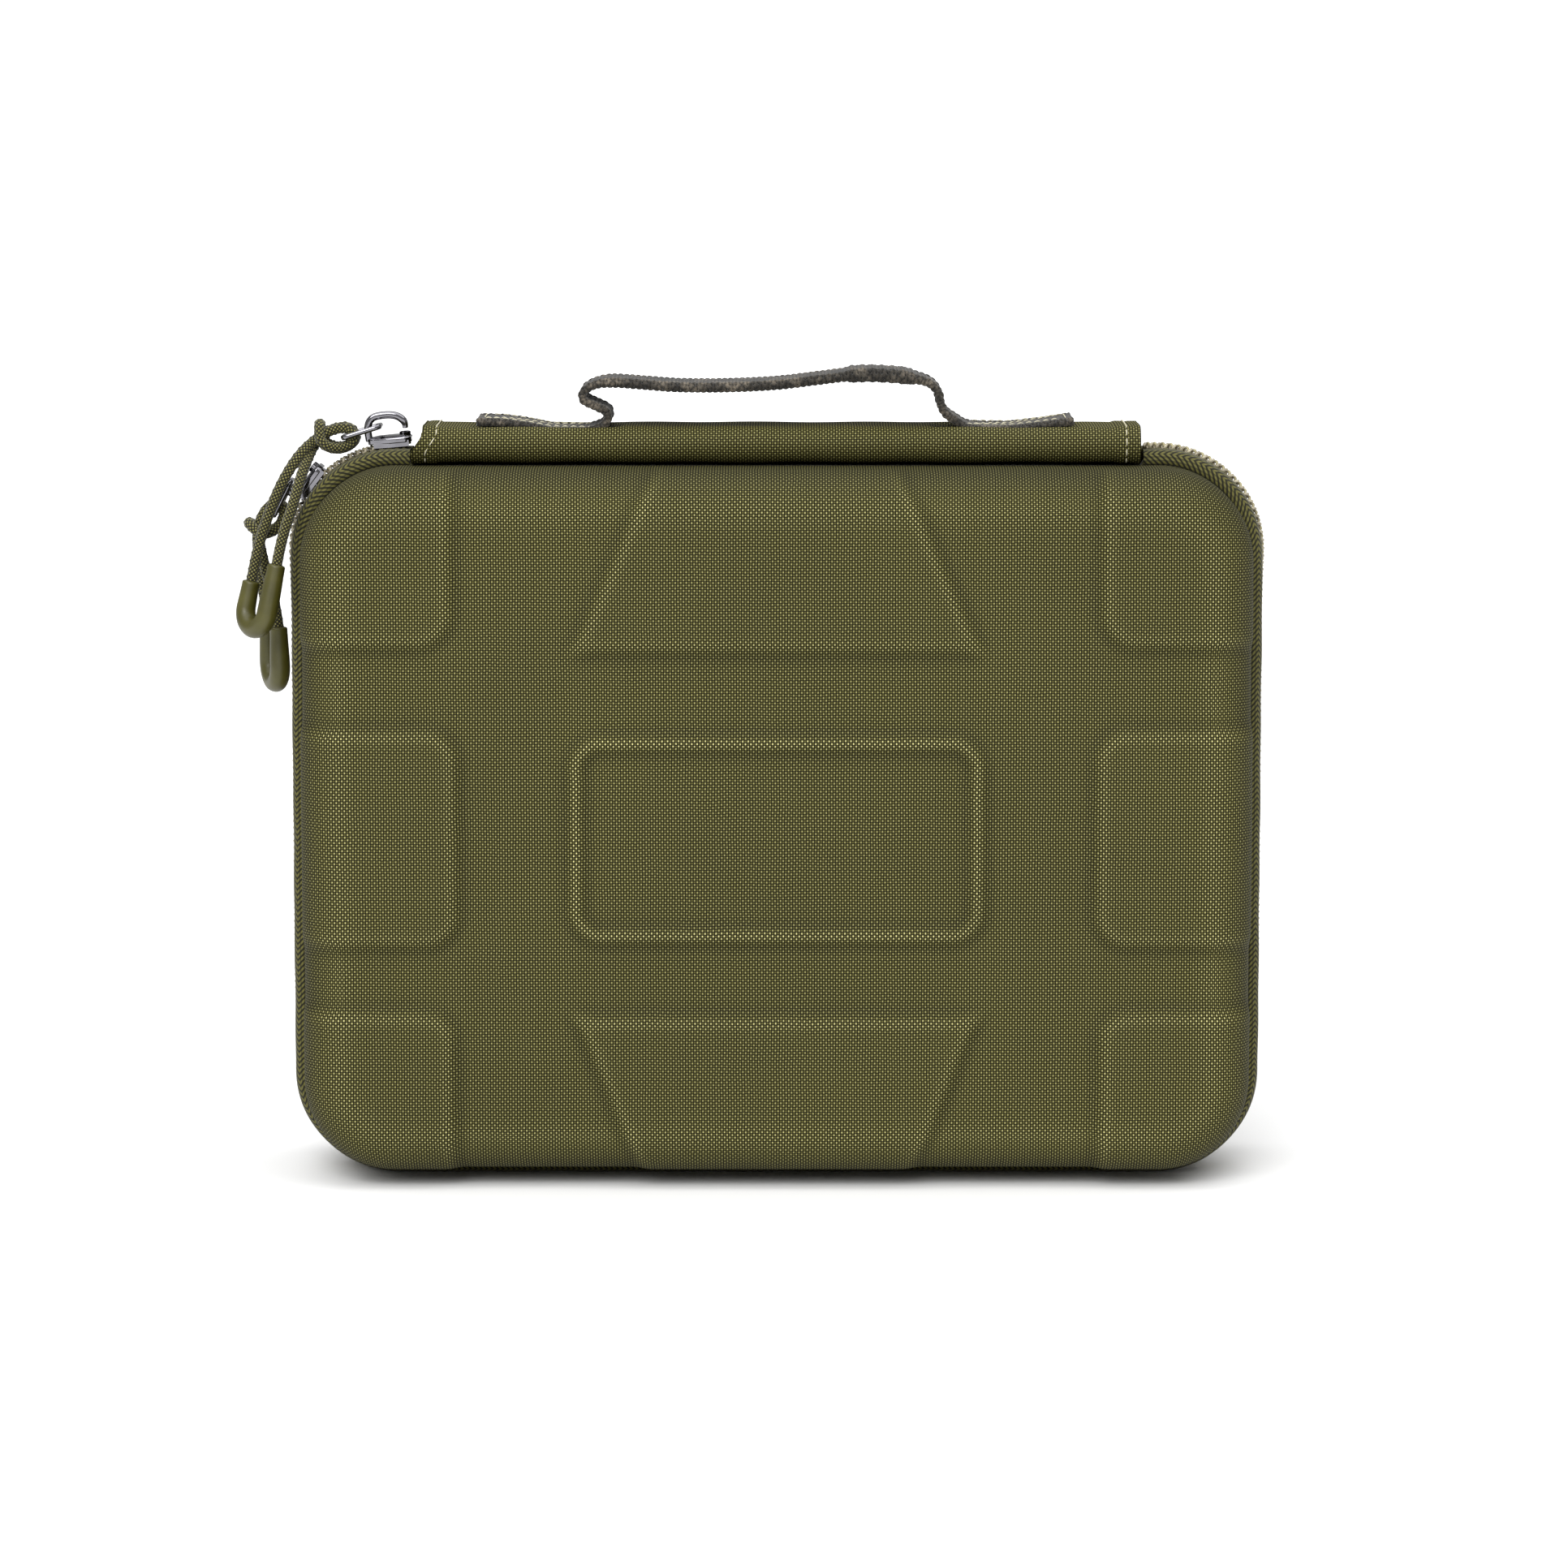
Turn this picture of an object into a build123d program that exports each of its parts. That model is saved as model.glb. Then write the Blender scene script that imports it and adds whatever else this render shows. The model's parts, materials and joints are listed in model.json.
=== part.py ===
from build123d import *
import math
import os

os.makedirs("parts", exist_ok=True)

# Driving dimensions, mm. X runs along the case, -Y is its front, +Z is up.
# The origin is on the surface it stands on, midway along it and in the zipper's middle plane.
case_width = 290.5
case_height = 216.3
corner_radius = 28.0
rim_offset = 12.0  # from the zipper's middle plane to each half's rim
half_depth = 30.5  # from the rim to the top of the raised pads
relief = 2.5  # height of the raised pads over the channels between them
edge_radius = 13.0

cover_thickness = 0.9
foam_thickness = 3.2
lining_thickness = 0.6

ridge_rise = 4.7  # how far the zipper stands out past the half shells
tape_thickness = 2.2
coil_width = 3.3
half_gap = 0.1  # from the middle plane to each coil row
binding_thickness = 2.2

spine_length = 224.6
spine_radius = 5.5
spine_wall = 1.4
hinge_rise = 6.3  # hinge lines over the half shells
end_gap = 0.5

strap_width = 24.0
strap_thickness = 2.4
grip_thickness = 3.6

cord_diameter = 3.1
puller_leg = 6.2
puller_pitch = 12.4

# Places worked out from them
case_middle = ridge_rise + case_height / 2
case_top = ridge_rise + case_height
hinge_height = case_top + hinge_rise
spine_crest = hinge_height + spine_radius
corner_x = corner_radius - case_width / 2
corner_z = case_top - corner_radius
crest_radius = corner_radius + ridge_rise
wall = cover_thickness + foam_thickness + lining_thickness
ring_end = spine_length / 2 + end_gap


def finish(builder, name):
    """Labels a finished piece and writes it to its own file."""
    builder.part.label = name
    export_step(builder.part, f"parts/{name}.step")


# ---------------------------------------------------------------- half shells


def outline(outset):
    """The case's rounded outline, grown by outset."""
    with Locations((0, case_middle)):
        RectangleRounded(case_width + 2 * outset, case_height + 2 * outset, corner_radius + outset)


def pads(inset):
    """The raised pads of the face: six side pads, two trapezoids and the middle frame."""
    side_x = case_width / 2
    for sign in (-1, 1):
        with Locations((sign * side_x, 212)):
            RectangleRounded(94 - 2 * inset, 89 - 2 * inset, 9 - inset)
        with Locations((sign * side_x, 108.6)):
            RectangleRounded(96 - 2 * inset, 66 - 2 * inset, 8 - inset)
        with Locations((sign * side_x, 5)):
            RectangleRounded(93 - 2 * inset, 100 - 2 * inset, 10 - inset)
    edge = 58.5 - inset
    Polygon((-edge, 165.3 + inset), (edge, 165.3 + inset), (edge - 26, 225), (26 - edge, 225), align=None)
    Polygon((-edge, 53.8 - inset), (edge, 53.8 - inset), (edge - 19, 0), (19 - edge, 0), align=None)
    with Locations((0, 108.4)):
        RectangleRounded(131 - 2 * inset, 67 - 2 * inset, 9 - inset)
        RectangleRounded(114 + 2 * inset, 58 + 2 * inset, 5 + inset, mode=Mode.SUBTRACT)


def moulded_form(inset):
    """The front half's solid outer form with its pads, each surface moved inward by inset."""
    face = rim_offset + half_depth - inset
    with BuildPart() as form:
        with BuildSketch(Plane.XZ.offset(rim_offset)):
            outline(-inset)
        extrude(amount=half_depth - inset)
        fillet(form.faces().sort_by(Axis.Y)[0].edges(), edge_radius - inset)
        with BuildSketch(Plane.XZ.offset(face)) as channels:
            outline(1)
            with BuildSketch(Plane.XZ.offset(face), mode=Mode.SUBTRACT):
                pads(inset)
        extrude(amount=-relief, mode=Mode.SUBTRACT)
    return form.part


def smooth_form(inset):
    """The front half's smooth inner form, inset from the outline and from the channels' floor."""
    with BuildPart() as form:
        with BuildSketch(Plane.XZ.offset(rim_offset)):
            outline(-inset)
        extrude(amount=half_depth - relief - inset)
        fillet(form.faces().sort_by(Axis.Y)[0].edges(), edge_radius - inset)
    return form.part


cover_form = moulded_form(0)
foam_form = moulded_form(cover_thickness)
lining_form = smooth_form(cover_thickness + foam_thickness)
cavity_form = smooth_form(wall)

with BuildPart() as front_cover:
    add(cover_form)
    add(foam_form, mode=Mode.SUBTRACT)
finish(front_cover, "front_cover")

with BuildPart() as front_shell:
    add(foam_form)
    add(lining_form, mode=Mode.SUBTRACT)
finish(front_shell, "front_shell")

with BuildPart() as front_lining:
    add(lining_form)
    add(cavity_form, mode=Mode.SUBTRACT)
finish(front_lining, "front_lining")

# ------------------------------------------------- zipper and binding, front half


def ring(low, high, near, far):
    """A ring that follows the outline between two outsets, from y = -near to y = -far."""
    with BuildPart() as band:
        with BuildSketch(Plane.XZ.offset(near)):
            outline(high)
            with BuildSketch(Plane.XZ.offset(near), mode=Mode.SUBTRACT):
                outline(low)
        extrude(amount=far - near)
    return band.part


def spine_room(height):
    """The room along the top that the spine takes, from a height up."""
    with BuildPart() as room:
        with BuildSketch(Plane.XY.offset(height)):
            Rectangle(2 * ring_end, 4 * rim_offset)
        extrude(amount=4 * ridge_rise)
    return room.part


tape_outset = ridge_rise - tape_thickness
coil_face = half_gap + coil_width

with BuildPart() as front_binding:
    add(ring(-wall - 0.5, tape_outset, rim_offset - binding_thickness, rim_offset))
    add(spine_room(case_top), mode=Mode.SUBTRACT)
finish(front_binding, "front_binding")

with BuildPart() as front_zipper_tape:
    add(ring(tape_outset, ridge_rise, coil_face, rim_offset))
    add(spine_room(case_top - ridge_rise), mode=Mode.SUBTRACT)
finish(front_zipper_tape, "front_zipper_tape")

with BuildPart() as front_zipper_coil:
    add(ring(tape_outset - 0.5, ridge_rise, half_gap, coil_face))
    add(spine_room(case_top - ridge_rise), mode=Mode.SUBTRACT)
finish(front_zipper_coil, "front_zipper_coil")

# ------------------------------------------------------------------- back half
# The back half is pressed in the same mould, so it mirrors the front.

with BuildPart() as back_cover:
    mirror(front_cover.part, about=Plane.XZ)
finish(back_cover, "back_cover")

with BuildPart() as back_shell:
    mirror(front_shell.part, about=Plane.XZ)
finish(back_shell, "back_shell")

with BuildPart() as back_lining:
    mirror(front_lining.part, about=Plane.XZ)
finish(back_lining, "back_lining")

with BuildPart() as back_binding:
    mirror(front_binding.part, about=Plane.XZ)
finish(back_binding, "back_binding")

with BuildPart() as back_zipper_tape:
    mirror(front_zipper_tape.part, about=Plane.XZ)
finish(back_zipper_tape, "back_zipper_tape")

with BuildPart() as back_zipper_coil:
    mirror(front_zipper_coil.part, about=Plane.XZ)
finish(back_zipper_coil, "back_zipper_coil")

# -------------------------------------------------------------------- interior

divider_thickness = 5.0
divider_place = 48.0  # from the middle of the case to the middle of each divider
divider_depth = 23.0
fit_gap = 0.2
cavity_floor = rim_offset + half_depth - relief - wall
divider_height = case_height - 2 * wall - 2 * fit_gap


def divider(place):
    """A padded divider across the back half, held by its ends, with its lower corners rounded."""
    with BuildPart() as board:
        with BuildSketch(Plane.YZ.offset(place - divider_thickness / 2)) as profile:
            with Locations((cavity_floor - fit_gap - divider_depth / 2, case_middle)):
                Rectangle(divider_depth, divider_height)
            fillet(profile.vertices().group_by(Axis.X)[-1], edge_radius - wall + 1)
        extrude(amount=divider_thickness)
    return board.part


for divider_name, divider_x in (("divider_left", -divider_place), ("divider_right", divider_place)):
    with BuildPart() as divider_board:
        add(divider(divider_x))
    finish(divider_board, divider_name)

pocket_width = 240.0
pocket_height = 128.0
pocket_low = 24.0
mesh_thickness = 0.8
pocket_face = cavity_floor - fit_gap

with BuildPart() as mesh_pocket:
    with BuildSketch(Plane.XZ.offset(pocket_face - mesh_thickness)):
        with Locations((0, pocket_low + pocket_height / 2)):
            RectangleRounded(pocket_width, pocket_height, 10)
    extrude(amount=mesh_thickness)
finish(mesh_pocket, "mesh_pocket")

with BuildPart() as pocket_binding:
    with BuildSketch(Plane.XZ.offset(pocket_face - 2.2)):
        with Locations((0, pocket_low + pocket_height + 5)):
            RectangleRounded(pocket_width, 9, 2)
    extrude(amount=2.2)
finish(pocket_binding, "pocket_binding")

# ----------------------------------------------------------------------- spine
# A rounded sleeve about the two hinge lines, so it stays against both halves as they turn.
split_height = hinge_height - spine_radius + spine_wall + 0.6


def spine_slot(grow):
    """The spine's section about its two hinge lines, grown by an amount."""
    with Locations((0, hinge_height)):
        SlotCenterToCenter(2 * rim_offset, 2 * (spine_radius + grow))


with BuildPart() as spine_sleeve:
    with BuildSketch(Plane.YZ):
        spine_slot(0)
        with BuildSketch(Plane.YZ, mode=Mode.SUBTRACT):
            spine_slot(-spine_wall)
    extrude(amount=spine_length / 2, both=True)

with BuildPart() as spine_panel:
    add(spine_sleeve.part)
    split(bisect_by=Plane.XY.offset(split_height), keep=Keep.TOP)
finish(spine_panel, "spine_panel")

with BuildPart() as spine_lining:
    add(spine_sleeve.part)
    split(bisect_by=Plane.XY.offset(split_height), keep=Keep.BOTTOM)
finish(spine_lining, "spine_lining")

with BuildPart() as spine_core:
    with BuildSketch(Plane.YZ):
        spine_slot(-spine_wall)
    extrude(amount=spine_length / 2 - 3, both=True)
finish(spine_core, "spine_core")

hem_width = 5.0
hem_rise = 0.4

for hem_name, hem_x in (("spine_hem_left", -spine_length / 2), ("spine_hem_right", spine_length / 2 - hem_width)):
    with BuildPart() as spine_hem:
        with BuildSketch(Plane.YZ.offset(hem_x)):
            spine_slot(hem_rise)
            with BuildSketch(Plane.YZ, mode=Mode.SUBTRACT):
                spine_slot(0)
        extrude(amount=hem_width)
        split(bisect_by=Plane.XY.offset(hinge_height), keep=Keep.TOP)
    finish(spine_hem, hem_name)

# ---------------------------------------------------------------------- handle
strap_top = spine_crest + strap_thickness

for end_name, end_low, end_high in (("handle_end_left", -92, -50), ("handle_end_right", 50, 91)):
    with BuildPart() as handle_end:
        with BuildSketch(Plane.XY.offset(spine_crest)):
            with Locations(((end_low + end_high) / 2, 0)):
                RectangleRounded(end_high - end_low, strap_width, 1.5)
        extrude(amount=strap_thickness)
    finish(handle_end, end_name)


def strap(points, thickness):
    """Webbing of one thickness that follows points in the XZ plane, centred on y = 0."""
    with BuildPart() as webbing:
        with BuildSketch(Plane.XZ):
            with BuildLine():
                Spline(*points)
            trace(line_width=thickness)
        extrude(amount=strap_width / 2, both=True)
    return webbing.part


with BuildPart() as handle_grip:
    add(strap([(-53, 246.0), (-30, 244.8), (0, 245.6), (26, 248.4), (45.5, 246.6)], grip_thickness))
finish(handle_grip, "handle_grip")

with BuildPart() as handle_riser_left:
    add(strap([(-51.5, 236.6), (-55.5, 239.0), (-59.5, 240.6), (-58.0, 243.8), (-55.0, 245.6)], strap_thickness))
finish(handle_riser_left, "handle_riser_left")

with BuildPart() as handle_riser_right:
    add(strap([(47.6, 245.4), (49.6, 243.0), (50.6, 240.0), (52.6, 236.8)], strap_thickness))
finish(handle_riser_right, "handle_riser_right")

# --------------------------------------------------------------------- sliders
slider_lift = 1.6  # plate's underside over the zipper's crest
plate_thickness = 1.8
plate_near = -5.6
plate_far = 1.8
crown_thickness = 3.2
crown_bar = 2.4
slider_angles = {"a": 5.0, "b": 53.0}  # from straight up, round the top left corner
bar_place = 11.55  # from a tab's round pivot bar to the round bar its cord is hitched on
tab_width = 12.0
tab_bar = 1.2
tab_thickness = 1.6
tab_pivot = (-2.0, 6.9)  # in a slider's own plane: along the zipper, out from its crest
tab_angles = {"a": 197.0, "b": 243.0}  # direction the tab hangs in, in the XZ plane


def slider_plane(angle):
    """A slider's own frame on the zipper's crest: x along the zipper, z outward."""
    centre = Plane(origin=(corner_x, 0, corner_z), x_dir=(1, 0, 0), z_dir=(0, 0, 1))
    return centre.rotated((0, -angle, 0)).offset(crest_radius)


def side_plane(plane):
    """The plane through a slider's middle that its crown is drawn in: x along, y outward."""
    return Plane(origin=plane.origin, x_dir=plane.x_dir, z_dir=plane.x_dir.cross(plane.z_dir))


def tab_plane(slider, direction):
    """A tab's frame: origin on its pivot, x along the tab, y toward the front, z outward from the case."""
    side = side_plane(slider)
    pivot = side.from_local_coords(Vector(tab_pivot[0], tab_pivot[1], 0))
    along = Vector(1, 0, 0).rotate(Axis.Y, -direction)
    return Plane(origin=pivot, x_dir=along, z_dir=Vector(0, 1, 0).cross(along))


for key, angle in slider_angles.items():
    frame = slider_plane(angle)
    side = side_plane(frame)
    with BuildPart() as slider_plate:
        with BuildSketch(frame.offset(slider_lift)):
            with Locations((0.9, (plate_near + plate_far) / 2)):
                RectangleRounded(13, plate_far - plate_near, 1.8)
        extrude(amount=plate_thickness)
    finish(slider_plate, f"slider_plate_{key}")

    with BuildPart() as slider_crown:
        with BuildSketch(side) as hook:
            with BuildLine():
                Polyline((-5, slider_lift + plate_thickness), (-5, 7), (-3, 9.4), (2.6, 9.4), (4.6, 7.4), (4.6, 5.6))
            trace(line_width=crown_bar)
        extrude(amount=crown_thickness / 2, both=True)
        split(bisect_by=frame.offset(slider_lift + plate_thickness), keep=Keep.TOP)
    finish(slider_crown, f"slider_crown_{key}")

    # The tab is a flat loop whose two cross bars are round: one turns in the crown, one carries the cord.
    tab = tab_plane(frame, tab_angles[key])
    with BuildPart() as pull_tab:
        with BuildSketch(tab.offset(-tab_thickness / 2)):
            with Locations((bar_place / 2, 0)):
                RectangleRounded(bar_place + tab_thickness, tab_width, 1.6)
                Rectangle(bar_place + tab_thickness, tab_width - 2 * tab_bar, mode=Mode.SUBTRACT)
        extrude(amount=tab_thickness)
        for place in (0, bar_place):
            with BuildSketch(Plane(origin=tab.from_local_coords(Vector(place, 0, 0)), z_dir=(0, 1, 0))):
                Circle(tab_thickness / 2)
            extrude(amount=tab_width / 2 - tab_bar / 2, both=True)
    finish(pull_tab, f"pull_tab_{key}")

# --------------------------------------------------------------- puller cords
# Each cord is one loop, hitched round the end bar of its tab, with both ends in a moulded U.
# The hitch is in the bar's own frame: along the tab, across it to the front, and outward from the case.
hitch_half = [
    (8.5, 2.0, 2.0),
    (2.5, 2.0, 3.5),
    (-2.9, 2.2, 2.4),
    (-3.4, 2.8, -2.4),
    (2.6, 4.0, -3.3),
    (7.4, 5.2, 0.4),
    (6.0, 2.4, 6.0),
]
hitch = hitch_half + [(along, -across, out) for along, across, out in reversed(hitch_half)]

# The strands are in the case's frame, from the front leg's mouth up to the hitch and back down.
strands_up = {
    "a": [(-153.4, -19.6, 190.8), (-151.9, -18.7, 199), (-148.6, -15, 208.6), (-146.2, -9.6, 218.5)],
    "b": [(-154.4, -2.8, 170), (-155.6, -2.6, 179), (-158.4, -2.4, 188)],
}
strands_down = {
    "a": [(-147.6, -6.6, 223.5), (-153, -9, 214.5), (-157.2, -10, 204), (-160.2, -10.6, 194.5), (-162, -10.6, 185)],
    "b": [(-160.6, 5, 188), (-159.6, 7.8, 179), (-158.6, 8.8, 170)],
}
puller_lean = {"a": -0.21, "b": 0.03}  # sideways slope of each U's legs
puller_straight = 11.5  # mean length of a U's two legs, which end where the strands do


def corner_radii(points):
    """Each corner's radius: 0.45 of its shorter run over the tangent of half its turn."""
    radii = []
    for before, corner, after in zip(points, points[1:], points[2:]):
        run_in = corner - before
        run_out = after - corner
        turn = math.radians(run_in.get_angle(run_out))
        radii.append(0.45 * min(run_in.length, run_out.length) / math.tan(turn / 2))
    return radii


for key, angle in slider_angles.items():
    tab = tab_plane(slider_plane(angle), tab_angles[key])
    route = [Vector(*point) for point in strands_up[key]]
    route += [tab.from_local_coords(Vector(bar_place + along, across, out)) for along, across, out in hitch]
    route += [Vector(*point) for point in strands_down[key]]
    radii = corner_radii(route)
    with BuildPart() as pull_cord:
        with BuildLine() as cord_line:
            FilletPolyline(*route, radius=radii)
        with BuildSketch(Plane(origin=route[0], z_dir=route[1] - route[0])):
            Circle(cord_diameter / 2)
        sweep(path=cord_line.wire())
    finish(pull_cord, f"pull_cord_{key}")
    length = cord_line.wire().length
    section = math.pi * cord_diameter**2 / 4
    print("cord", key, "length", round(length, 1), "radii", [round(r, 1) for r in radii])
    print("volume share", round(pull_cord.part.volume / (section * length), 3))

    mouth_front = route[0]
    mouth_back = route[-1]
    down = Vector(puller_lean[key], 0, -1).normalized()
    longer = (mouth_back - mouth_front).dot(down) / 2
    between = mouth_back - mouth_front - down * 2 * longer
    half = between.length / 2
    middle = (mouth_front + mouth_back) * 0.5
    puller_frame = Plane(origin=middle, x_dir=between, z_dir=between.cross(down))
    with BuildPart() as pull_end:
        with BuildLine(puller_frame) as puller_line:
            Line((-half, -longer), (-half, puller_straight))
            ThreePointArc((-half, puller_straight), (0, puller_straight + half), (half, puller_straight))
            Line((half, puller_straight), (half, longer))
        with BuildSketch(Plane(origin=mouth_front, z_dir=down)):
            Circle(puller_leg / 2)
        sweep(path=puller_line.wire())
    finish(pull_end, f"pull_end_{key}")
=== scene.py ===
"""Looks for the moulded zip case: woven covers, zipper, spine, handle, pulls and interior, in metres."""

import json
import math

import bpy
import numpy as np
from mathutils import Matrix, Vector


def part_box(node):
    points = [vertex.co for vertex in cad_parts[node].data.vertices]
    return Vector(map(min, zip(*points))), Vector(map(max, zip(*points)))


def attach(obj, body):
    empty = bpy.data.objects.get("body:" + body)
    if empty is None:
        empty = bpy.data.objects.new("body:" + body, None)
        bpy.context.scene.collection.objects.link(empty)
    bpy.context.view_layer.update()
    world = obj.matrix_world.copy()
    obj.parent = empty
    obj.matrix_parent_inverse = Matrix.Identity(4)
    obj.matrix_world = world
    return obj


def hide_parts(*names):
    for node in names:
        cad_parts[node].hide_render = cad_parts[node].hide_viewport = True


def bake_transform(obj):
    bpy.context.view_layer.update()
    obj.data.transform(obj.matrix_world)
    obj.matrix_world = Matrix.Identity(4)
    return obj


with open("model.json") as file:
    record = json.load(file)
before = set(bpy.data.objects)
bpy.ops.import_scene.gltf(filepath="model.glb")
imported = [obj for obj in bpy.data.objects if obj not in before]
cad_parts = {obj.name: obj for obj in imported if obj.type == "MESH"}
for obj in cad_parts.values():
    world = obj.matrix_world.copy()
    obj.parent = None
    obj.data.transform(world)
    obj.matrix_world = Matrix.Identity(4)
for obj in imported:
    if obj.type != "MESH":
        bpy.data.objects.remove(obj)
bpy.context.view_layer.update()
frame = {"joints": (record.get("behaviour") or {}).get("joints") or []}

MM = 0.001

# ---------------------------------------------------------------- sizes, from the frame


def box(node):
    """The low and high corners of a CAD node's box."""
    return tuple(np.array(corner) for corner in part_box(node))


cover_low, cover_high = box("front_cover")
_, tape_high = box("front_zipper_tape")
_, spine_high = box("spine_panel")
end_left_low, end_left_high = box("handle_end_left")
end_right_low, end_right_high = box("handle_end_right")
joints = {joint["name"]: joint for joint in frame["joints"]}

HALF_WIDTH = float(cover_high[0])
CASE_BASE = float(cover_low[2])
CASE_TOP = float(cover_high[2])
CASE_MIDDLE = (CASE_BASE + CASE_TOP) / 2
HALF_HEIGHT = (CASE_TOP - CASE_BASE) / 2
RIM = float(-cover_high[1])
FACE = float(-cover_low[1])
RISE = float(tape_high[0]) - HALF_WIDTH
CORNER_X, _, CORNER_Z = joints["slider_b_travel"]["pos_m"]
CORNER = CORNER_X + HALF_WIDTH
HINGE_HEIGHT = joints["lid_hinge"]["pos_m"][2]
SPINE_HALF = float(spine_high[0])
SPINE_CREST = float(spine_high[2])
SPINE_RADIUS = SPINE_CREST - HINGE_HEIGHT

EDGE = 13 * MM  # radius of the rounded edge between wall and face
RELIEF = 2.5 * MM  # depth of the face's channels
WALL = 4.7 * MM
CORD = 3.3 * MM
PAD_SLOPE = 7.2 * MM
FRAME_SLOPE = 6.6 * MM
FRAME_HEIGHT = 0.88  # of the pads' height
FACE_CROWN = 0.9 * MM
WALL_BOW = 0.5 * MM
FACE_WAVER = 0.12 * MM
COVER_COLUMNS = 1120
LINING_COLUMNS = 520


# ---------------------------------------------------------------- mesh helpers


def new_mesh(name, vertices, faces, uvs, material):
    """A smooth mesh object from vertices and faces, with one UV for each vertex."""
    mesh = bpy.data.meshes.new(name)
    mesh.from_pydata([tuple(v) for v in vertices], [], [tuple(f) for f in faces])
    layer = mesh.uv_layers.new(name="Cloth")
    loops = np.empty(len(mesh.loops), dtype=np.int32)
    mesh.loops.foreach_get("vertex_index", loops)
    layer.data.foreach_set("uv", np.asarray(uvs, dtype=np.float32)[loops].ravel())
    mesh.polygons.foreach_set("use_smooth", [True] * len(mesh.polygons))
    mesh.update()
    mesh.materials.append(material)
    obj = bpy.data.objects.new(name, mesh)
    bpy.context.scene.collection.objects.link(obj)
    return obj


def grid_faces(rows, columns, wrap_rows=False, wrap_columns=False, flip=False):
    """Quads over a rows by columns grid of vertices."""
    faces = []
    for i in range(rows if wrap_rows else rows - 1):
        for j in range(columns if wrap_columns else columns - 1):
            a = i * columns + j
            b = i * columns + (j + 1) % columns
            c = ((i + 1) % rows) * columns + (j + 1) % columns
            d = ((i + 1) % rows) * columns + j
            faces.append((a, d, c, b) if flip else (a, b, c, d))
    return faces


def caps(rings, sides, flip=False):
    """The two end faces of a run of rings."""
    first, last = tuple(range(sides)), tuple(range((rings - 1) * sides, rings * sides))
    return [first[::-1], last] if flip else [first, last[::-1]]


def closed_over(rows, flip):
    """Vertices and faces of rings that run from a rim inwards, closed by a fan over the last one."""
    count = len(rows[0])
    vertices = np.concatenate(rows)
    faces = grid_faces(len(rows), count, wrap_columns=True, flip=flip)
    start, centre = (len(rows) - 1) * count, len(vertices)
    vertices = np.concatenate([vertices, [vertices[start:].mean(axis=0)]])
    for j in range(count):
        a, b = start + j, start + (j + 1) % count
        faces.append((b, a, centre) if flip else (a, b, centre))
    return vertices, faces


def arc(cx, cy, radius, start, end, points):
    """Points on an arc from one angle to another, in degrees."""
    turn = np.radians(np.linspace(start, end, points))
    return [(cx + radius * math.cos(a), cy + radius * math.sin(a)) for a in turn]


def smooth_step(x):
    """Goes from 0 to 1 as x does, with flat ends."""
    t = np.clip(x, 0, 1)
    return t * t * (3 - 2 * t)


def lengths_along(points):
    """The distance travelled at each point of a polyline."""
    return np.concatenate([[0], np.cumsum(np.linalg.norm(np.diff(points, axis=0), axis=1))])


def resampled(points, step=0.0, count=0):
    """Points at even steps along a polyline, and their distances from its start."""
    lengths = lengths_along(points)
    places = np.linspace(0, lengths[-1], count or max(2, int(lengths[-1] / step)))
    return np.stack([np.interp(places, lengths, column) for column in points.T], axis=1), places


def tangents_along(points):
    """Unit tangents along a polyline."""
    tangents = np.gradient(points, axis=0)
    return tangents / np.linalg.norm(tangents, axis=1)[:, None]


def frames_along(points):
    """Two steady normals along a polyline, by parallel transport."""
    tangents = tangents_along(points)
    seed = np.array([0.0, 1.0, 0.0])
    if abs(tangents[0] @ seed) > 0.9:
        seed = np.array([1.0, 0.0, 0.0])
    normal = np.cross(tangents[0], seed)
    normal /= np.linalg.norm(normal)
    normals = [normal]
    for tangent in tangents[1:]:
        normal = normals[-1] - tangent * (normals[-1] @ tangent)
        normals.append(normal / np.linalg.norm(normal))
    normals = np.array(normals)
    return normals, np.cross(tangents, normals)


def round_piece(points, radii, sides, lengths=None):
    """Vertices, faces and UVs of a capped tube. radii is one number, one a point, or a points by sides table."""
    points = np.asarray(points, float)
    count = len(points)
    normals, binormals = frames_along(points)
    angles = np.linspace(0, 2 * math.pi, sides, endpoint=False)
    radii = np.asarray(radii, float)
    table = np.broadcast_to(radii if radii.ndim == 2 else radii.reshape(-1, 1), (count, sides))
    around = (
        np.cos(angles)[None, :, None] * normals[:, None, :] + np.sin(angles)[None, :, None] * binormals[:, None, :]
    )
    vertices = (points[:, None, :] + table[:, :, None] * around).reshape(-1, 3)
    if lengths is None:
        lengths = lengths_along(points)
    across = angles * float(np.mean(table))
    uvs = np.stack(np.broadcast_arrays(lengths[:, None], across[None, :]), axis=-1).reshape(-1, 2)
    return vertices, grid_faces(count, sides, wrap_columns=True, flip=True) + caps(count, sides), uvs


def thread_piece(path, radius):
    """One short thread along a path, tapered into the cloth at its ends."""
    taper = np.sin(np.linspace(0.18, math.pi - 0.18, len(path))) ** 0.4
    return round_piece(path, taper * radius, 5)


def merged(name, pieces, material):
    """One mesh object from (vertices, faces, uvs) pieces."""
    vertices, faces, uvs, start = [], [], [], 0
    for piece_vertices, piece_faces, piece_uvs in pieces:
        vertices.append(piece_vertices)
        uvs.append(piece_uvs)
        faces += [tuple(start + i for i in face) for face in piece_faces]
        start += len(piece_vertices)
    return new_mesh(name, np.concatenate(vertices), faces, np.concatenate(uvs), material)


# ---------------------------------------------------------------- materials


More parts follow.
